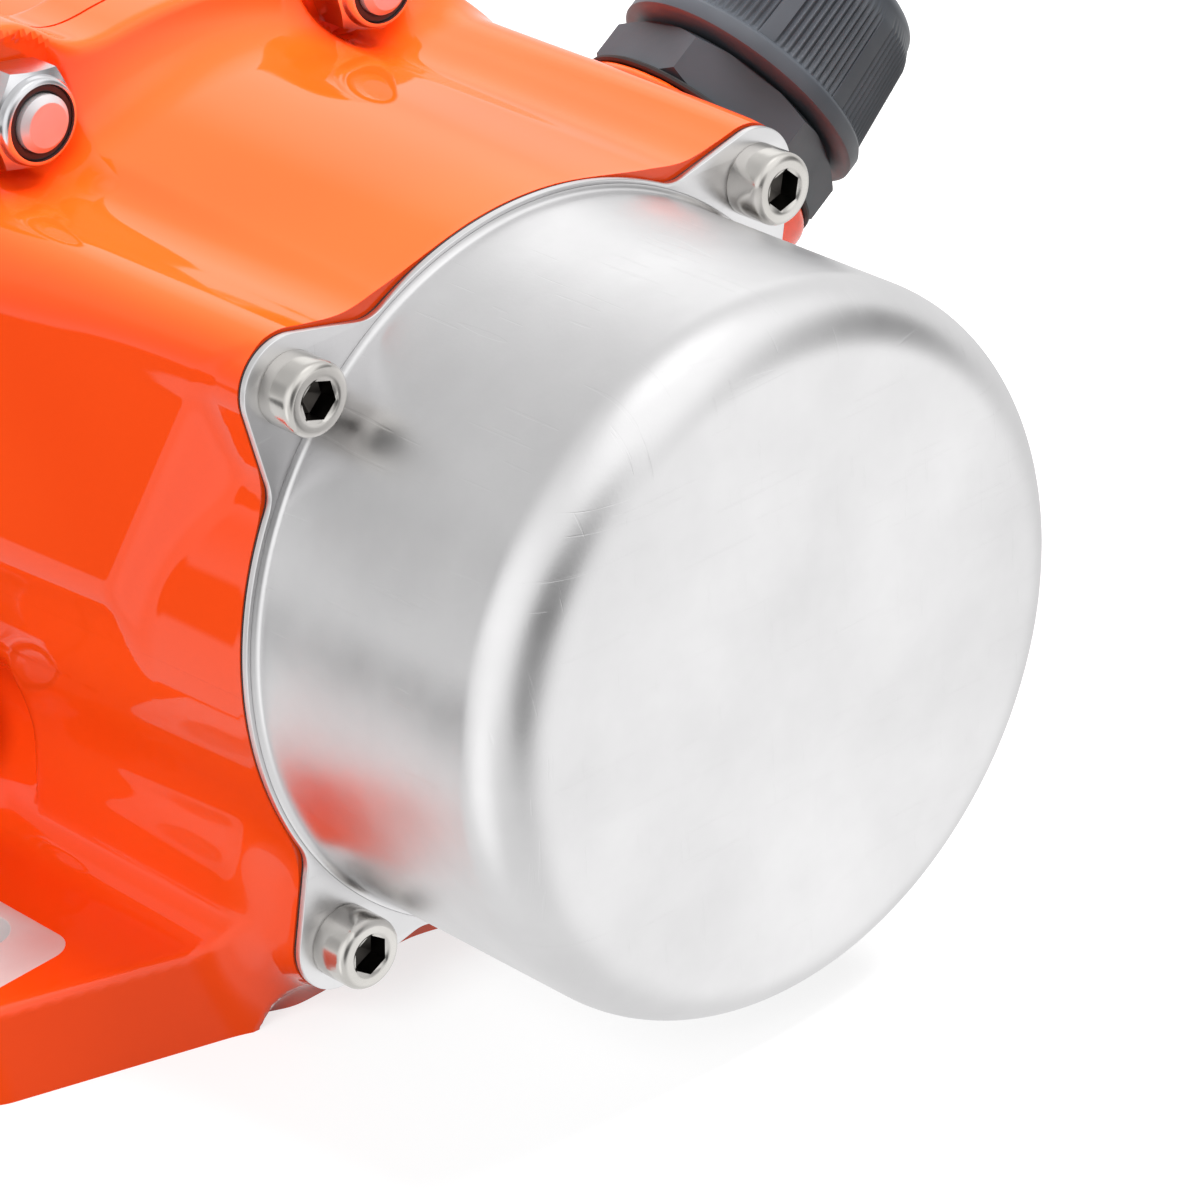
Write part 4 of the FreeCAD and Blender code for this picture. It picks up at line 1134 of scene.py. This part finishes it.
def flange_bolt(x, z, roll):
    """A hexagon bolt from the rear, with its thread showing at the nut."""
    tip = 2 * LIP_DEPTH + NUT_HEIGHT + BOLT_PAST
    crest = BOLT_RADIUS - 0.02
    profile = [(-BOLT_HEAD, 0.0), (-BOLT_HEAD, 4.9)]
    profile += hexagon_rows(NUT_FLATS, roll, 0.1 - BOLT_HEAD, -0.4, 6.0, 6.3)
    profile += [(0.0, 6.0), (0.0, BOLT_RADIUS), (THREAD_START, BOLT_RADIUS)]
    turns = int((tip - 0.9 - THREAD_START) / THREAD_PITCH)
    for turn in range(turns):
        start = THREAD_START + turn * THREAD_PITCH
        profile += [(start + 0.1, crest), (start + THREAD_PITCH / 2, THREAD_ROOT)]
        profile += [(start + THREAD_PITCH - 0.1, crest)]
    profile += [(tip - 0.85, BOLT_RADIUS - 0.05), (tip - 0.1, 3.2), (tip, 3.05), (tip, 0.0)]
    return lathe(profile, Vector((x, LIP_DEPTH, z + AXIS)), (0, -1, 0), 96, start=roll)


def make_bolts():
    meshes = [flange_bolt(x, z, roll) for (x, z), roll in zip(BOLTS, (0.1, 0.4, 0.25, 0.6))]
    return finish_mesh("flange_bolts_turned", *combine(*meshes), ["stud_steel"], sharp=24.0,
                       slot="zinc_plate")


# ---------------------------------------------------------------- cable gland

# The gland's washer, hexagon and threads, and the dome nut, all along its line from the boss.
WASHER_THICK = 1.0
GLAND_HEX = 33.0
GLAND_HEX_TOP = 8.6
GLAND_BORE = 9.5
GLAND_THREAD = 14.1
GLAND_THREAD_DEPTH = 10.0
GLAND_NECK = 12.3
GLAND_NECK_TOP = 18.6
DOME_START = 9.6
DOME_COLLAR = 19.3
DOME_BORE = 10.0
DOME_THREAD = 12.4
DOME_BASE = 18.4
DOME_NARROWING = 1.45
DOME_STEPS = 800


def make_gland_body():
    """The gland's hexagon, with the threads that go into the boss and the dome nut."""
    roll = math.pi / 2 + GLAND_ROLL
    deep = -GLAND_THREAD_DEPTH
    profile = [(deep, GLAND_BORE), (deep, GLAND_THREAD - 0.9), (deep + 1.0, GLAND_THREAD)]
    profile += [(WASHER_THICK, GLAND_THREAD)]
    profile += hexagon_rows(GLAND_HEX, roll, WASHER_THICK, GLAND_HEX_TOP, 17.2, 17.0)
    profile += [(GLAND_HEX_TOP, GLAND_NECK + 0.6), (GLAND_HEX_TOP + 1.0, GLAND_NECK)]
    profile += [(GLAND_NECK_TOP, GLAND_NECK), (GLAND_NECK_TOP, GLAND_BORE)]
    mesh = lathe(profile, GLAND_BASE, GLAND_AIM, 192, start=roll)
    return finish_mesh("gland_body_moulded", *mesh, ["gland_nylon"], sharp=24.0)


# The dome nut's fine grip ribs, in panels with plain strips between them.
GRIP_PANELS = 8
GRIPS_IN_PANEL = 10
GRIP_SHARE = 0.8
GRIP_START = 3.6
GRIP_END = 18.3
GRIP_DEPTH = 0.5
GRIP_LEAST = 15.8


def ribbed(along, out, angle):
    """The dome nut's distance out, with its grip ribs cut in."""
    local = along - DOME_START
    if out < GRIP_LEAST or local < GRIP_START or local > GRIP_END:
        return out
    panel = 2 * math.pi / GRIP_PANELS
    place = (angle % panel) / panel
    if place > GRIP_SHARE:
        return out
    wave = math.sin(place / GRIP_SHARE * GRIPS_IN_PANEL * 2 * math.pi)
    fade = min(1.0, (local - GRIP_START) / 0.5, (GRIP_END - local) / 1.5)
    return out - fade * GRIP_DEPTH * (0.5 + 0.5 * wave)


def make_dome():
    """The dome nut, with a collar at its foot and a rounded end."""
    profile = [(0.0, DOME_THREAD), (0.0, DOME_COLLAR - 0.7), (0.6, DOME_COLLAR), (2.7, DOME_COLLAR)]
    profile += [(3.2, DOME_COLLAR - 0.3), (3.5, DOME_BASE + 0.05), (4.2, DOME_BASE)]
    profile += [(4.2 + 13.1 * step / 8, DOME_BASE - DOME_NARROWING * step / 8) for step in range(1, 9)]
    profile += [(18.2, 16.65)] + arc((19.5, 12.8), 3.0, 82, 8, 8)
    profile += [(22.5, 11.6), (22.3, DOME_BORE + 0.3), (21.9, DOME_BORE), (19.9, DOME_BORE)]
    profile += [(19.9, DOME_THREAD)]
    placed = [(DOME_START + along, out) for along, out in profile]
    mesh = lathe(placed, GLAND_BASE, GLAND_AIM, DOME_STEPS, ribbed)
    return finish_mesh("gland_dome_moulded", *mesh, ["gland_nylon"], sharp=45.0)


def make_gland_washer():
    """The sealing washer between the boss and the gland's hexagon."""
    inner, outer, edge = 14.4, 19.0, 0.3
    profile = [(0.0, inner), (0.0, outer - edge), (edge, outer), (WASHER_THICK - edge, outer)]
    profile += [(WASHER_THICK, outer - edge), (WASHER_THICK, inner)]
    mesh = lathe(profile, GLAND_BASE, GLAND_AIM, 128)
    return finish_mesh("gland_washer_cut", *mesh, ["seal_rubber"])


# ---------------------------------------------------------------- the whole

INNER = {
    "seal_rubber": ("gland_seal",),
    "lamination": ("stator_core", "rotor_core"),
    "winding_wire": ("stator_windings",),
    "lead_cover": ("motor_leads",),
    "splice_cover": ("lead_splices",),
    "ground_steel": ("shaft", "spacer_sleeves", "weight_keys"),
    "cast_aluminium": ("rotor_end_rings",),
    "bearing_steel": ("bearing_outer_rings", "bearing_inner_rings", "front_bearing_balls",
                      "rear_bearing_balls"),
    "cage_nylon": ("front_bearing_cage", "rear_bearing_cage"),
    "spring_steel": ("bearing_circlips", "shaft_washers", "shaft_circlips"),
    "weight_steel": ("fixed_weights", "front_adjustable_weight", "rear_adjustable_weight"),
    "clamp_steel": ("front_clamp_screw", "rear_clamp_screw"),
    "gasket_sheet": ("housing_gasket",),
}


def dress_inner():
    """Gives each CAD piece that stays its material."""
    for material, names in INNER.items():
        for name in names:
            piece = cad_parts[name]
            piece.data.materials.clear()
            piece.data.materials.append(MATERIALS[material])


def make_object():
    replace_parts(make_housing("front_half_cast", True), "front_housing")
    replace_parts(make_housing("rear_half_cast", False), "rear_housing")
    for piece in make_seats("front_seat", -1):
        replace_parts(piece, "front_housing")
    for piece in make_seats("rear_seat", 1):
        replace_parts(piece, "rear_housing")
    for name, sign, node in (("front_cap", -1, "front_end_cap"), ("rear_cap", 1, "rear_end_cap")):
        for piece in make_cap(name, sign):
            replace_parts(piece, node)
    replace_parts(make_cap_gasket("front_cap_seal", -1), "front_cap_gasket")
    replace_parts(make_cap_gasket("rear_cap_seal", 1), "rear_cap_gasket")
    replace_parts(make_cap_screws(), "cap_screws")
    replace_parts(make_nuts(), "flange_nuts")
    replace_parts(make_inserts(), "nut_inserts")
    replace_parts(make_bolts(), "flange_bolts")
    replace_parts(make_gland_body(), "gland_body")
    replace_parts(make_dome(), "gland_dome_nut")
    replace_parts(make_gland_washer(), "gland_washer")
    dress_inner()


# ---------------------------------------------------------------- studio

# Where the camera stands, in metres, and how it is turned: towards a compass angle from the
# rear towards the right, down, and rolled.
CAMERA_PLACE = (-0.44035, -0.59186, 0.41159)
CAMERA_COMPASS = math.radians(41.019)
CAMERA_DIP = math.radians(28.32)
CAMERA_ROLL = math.radians(-3.983)
CAMERA_LENS = 176.4


def make_camera():
    data = bpy.data.cameras.new("camera")
    data.sensor_width = 36.0
    data.lens = CAMERA_LENS
    data.clip_start = 0.05
    data.clip_end = 20.0
    camera = bpy.data.objects.new("camera", data)
    bpy.context.scene.collection.objects.link(camera)
    turn = Matrix.Rotation(-CAMERA_COMPASS, 4, "Z")
    turn = turn @ Matrix.Rotation(math.pi / 2 - CAMERA_DIP, 4, "X")
    turn = turn @ Matrix.Rotation(CAMERA_ROLL, 4, "Z")
    camera.matrix_world = Matrix.Translation(CAMERA_PLACE) @ turn
    bpy.context.scene.camera = camera


def make_lamp(name, place, aim, size, power):
    """A square soft lamp that mirrored rays don't see, with its place and size in metres."""
    data = bpy.data.lights.new(name, "AREA")
    data.shape = "SQUARE"
    data.size = size
    data.energy = power
    lamp = bpy.data.objects.new(name, data)
    bpy.context.scene.collection.objects.link(lamp)
    lamp.location = place
    lamp.rotation_euler = (Vector(aim) - Vector(place)).to_track_quat("-Z", "Y").to_euler()
    lamp.visible_glossy = False


# The light all round: its level for mirrored rays, the least that a dark gap leaves of it,
# and its level for other rays.
MIRRORED_LEVEL = 0.88
MIRRORED_LEAST = 0.03
SOFT_LEVEL = 0.36

# The studio as polished pieces see it, as panels and dark gaps. Each has its compass angle
# from the rear towards the right, its height, how far from its middle it is full and where
# it has faded out, all in degrees, and its strength.
PANELS = (
    (160, 48, 20, 60, 0.4),
    (-92, 18, 10, 42, 0.35),
    (41, 29, 3, 20, 0.45),
    (-158, 5, 8, 34, -0.75),
    (125, 9, 6, 30, -0.7),
    (-30, 30, 10, 40, -0.2),
    (-50, -12, 6.5, 8.5, -0.8),
    (-42, 14, 8, 18, -0.22),
    (-90, -28, 5, 24, 0.45),
    (117, 78, 6, 24, 0.35),
    (139, -30, 10, 45, 0.25),
)


def panel_light(tree, ray):
    """The brightness of the studio in the direction of a mirrored ray."""
    total = MIRRORED_LEVEL
    for compass, height, inner, outer, strength in PANELS:
        turn, rise = math.radians(compass), math.radians(height)
        aim = (math.sin(turn) * math.cos(rise), math.cos(turn) * math.cos(rise), math.sin(rise))
        near = new_node(tree, "ShaderNodeVectorMath", {0: ray, 1: aim}, operation="DOT_PRODUCT")
        inputs = {"Value": near.outputs["Value"], "To Min": 0.0, "To Max": strength}
        inputs["From Min"] = math.cos(math.radians(outer))
        inputs["From Max"] = math.cos(math.radians(inner))
        lobe = new_node(tree, "ShaderNodeMapRange", inputs, interpolation_type="SMOOTHSTEP")
        total = math_node(tree, "ADD", lobe.outputs["Result"], total)
    return math_node(tree, "MAXIMUM", total, MIRRORED_LEAST)


def make_world():
    """A white background, a studio for mirrored rays, and soft grey light all round."""
    world = bpy.data.worlds.new("studio")
    bpy.context.scene.world = world
    world.use_nodes = True
    tree = world.node_tree
    path = tree.nodes.new("ShaderNodeLightPath").outputs
    ray = tree.nodes.new("ShaderNodeTexCoord").outputs["Generated"]
    inputs = {"Factor": path["Is Glossy Ray"], "A": SOFT_LEVEL, "B": panel_light(tree, ray)}
    lit = new_node(tree, "ShaderNodeMix", inputs)
    seen = math_node(tree, "MAXIMUM", path["Is Camera Ray"], path["Is Transmission Ray"])
    shown = new_node(tree, "ShaderNodeMix", {"Factor": seen, "A": lit.outputs["Result"], "B": 1.0})
    inputs = {"Color": (1, 1, 1, 1), "Strength": shown.outputs["Result"]}
    fill(tree, tree.nodes["Background"], inputs)


FLOOR_TONE = 0.3
FLOOR_GLOW = 0.75
FLOOR_REACH = 3.0


def make_floor():
    """A plain pale floor that keeps the object's shadow."""
    material = bpy.data.materials.new("floor")
    material.use_nodes = True
    tree = material.node_tree
    path = tree.nodes.new("ShaderNodeLightPath")
    inputs = {
        "Base Color": (FLOOR_TONE, FLOOR_TONE, FLOOR_TONE, 1),
        "Roughness": 0.9,
        "Specular IOR Level": 0.0,
        "Emission Color": (1, 1, 1, 1),
        "Emission Strength": math_node(tree, "MULTIPLY", path.outputs["Is Camera Ray"], FLOOR_GLOW),
    }
    fill(tree, tree.nodes["Principled BSDF"], inputs)
    mesh = bpy.data.meshes.new("floor")
    far = FLOOR_REACH
    mesh.from_pydata([(-far, -far, 0), (far, -far, 0), (far, far, 0), (-far, far, 0)], [], [(0, 1, 2, 3)])
    mesh.materials.append(material)
    floor = bpy.data.objects.new("floor", mesh)
    bpy.context.scene.collection.objects.link(floor)
    floor.visible_glossy = False


def make_studio():
    make_camera()
    make_world()
    make_floor()
    middle = (0, 0, 0.05)
    make_lamp("top_softbox", (0.6, 0.1, 1.1), middle, 1.0, 52.0)
    make_lamp("left_softbox", (-1.05, -0.4, 0.8), middle, 0.8, 12.0)
    bpy.context.scene.view_settings.view_transform = "Standard"


make_studio()
make_object()
bpy.context.view_layer.update()
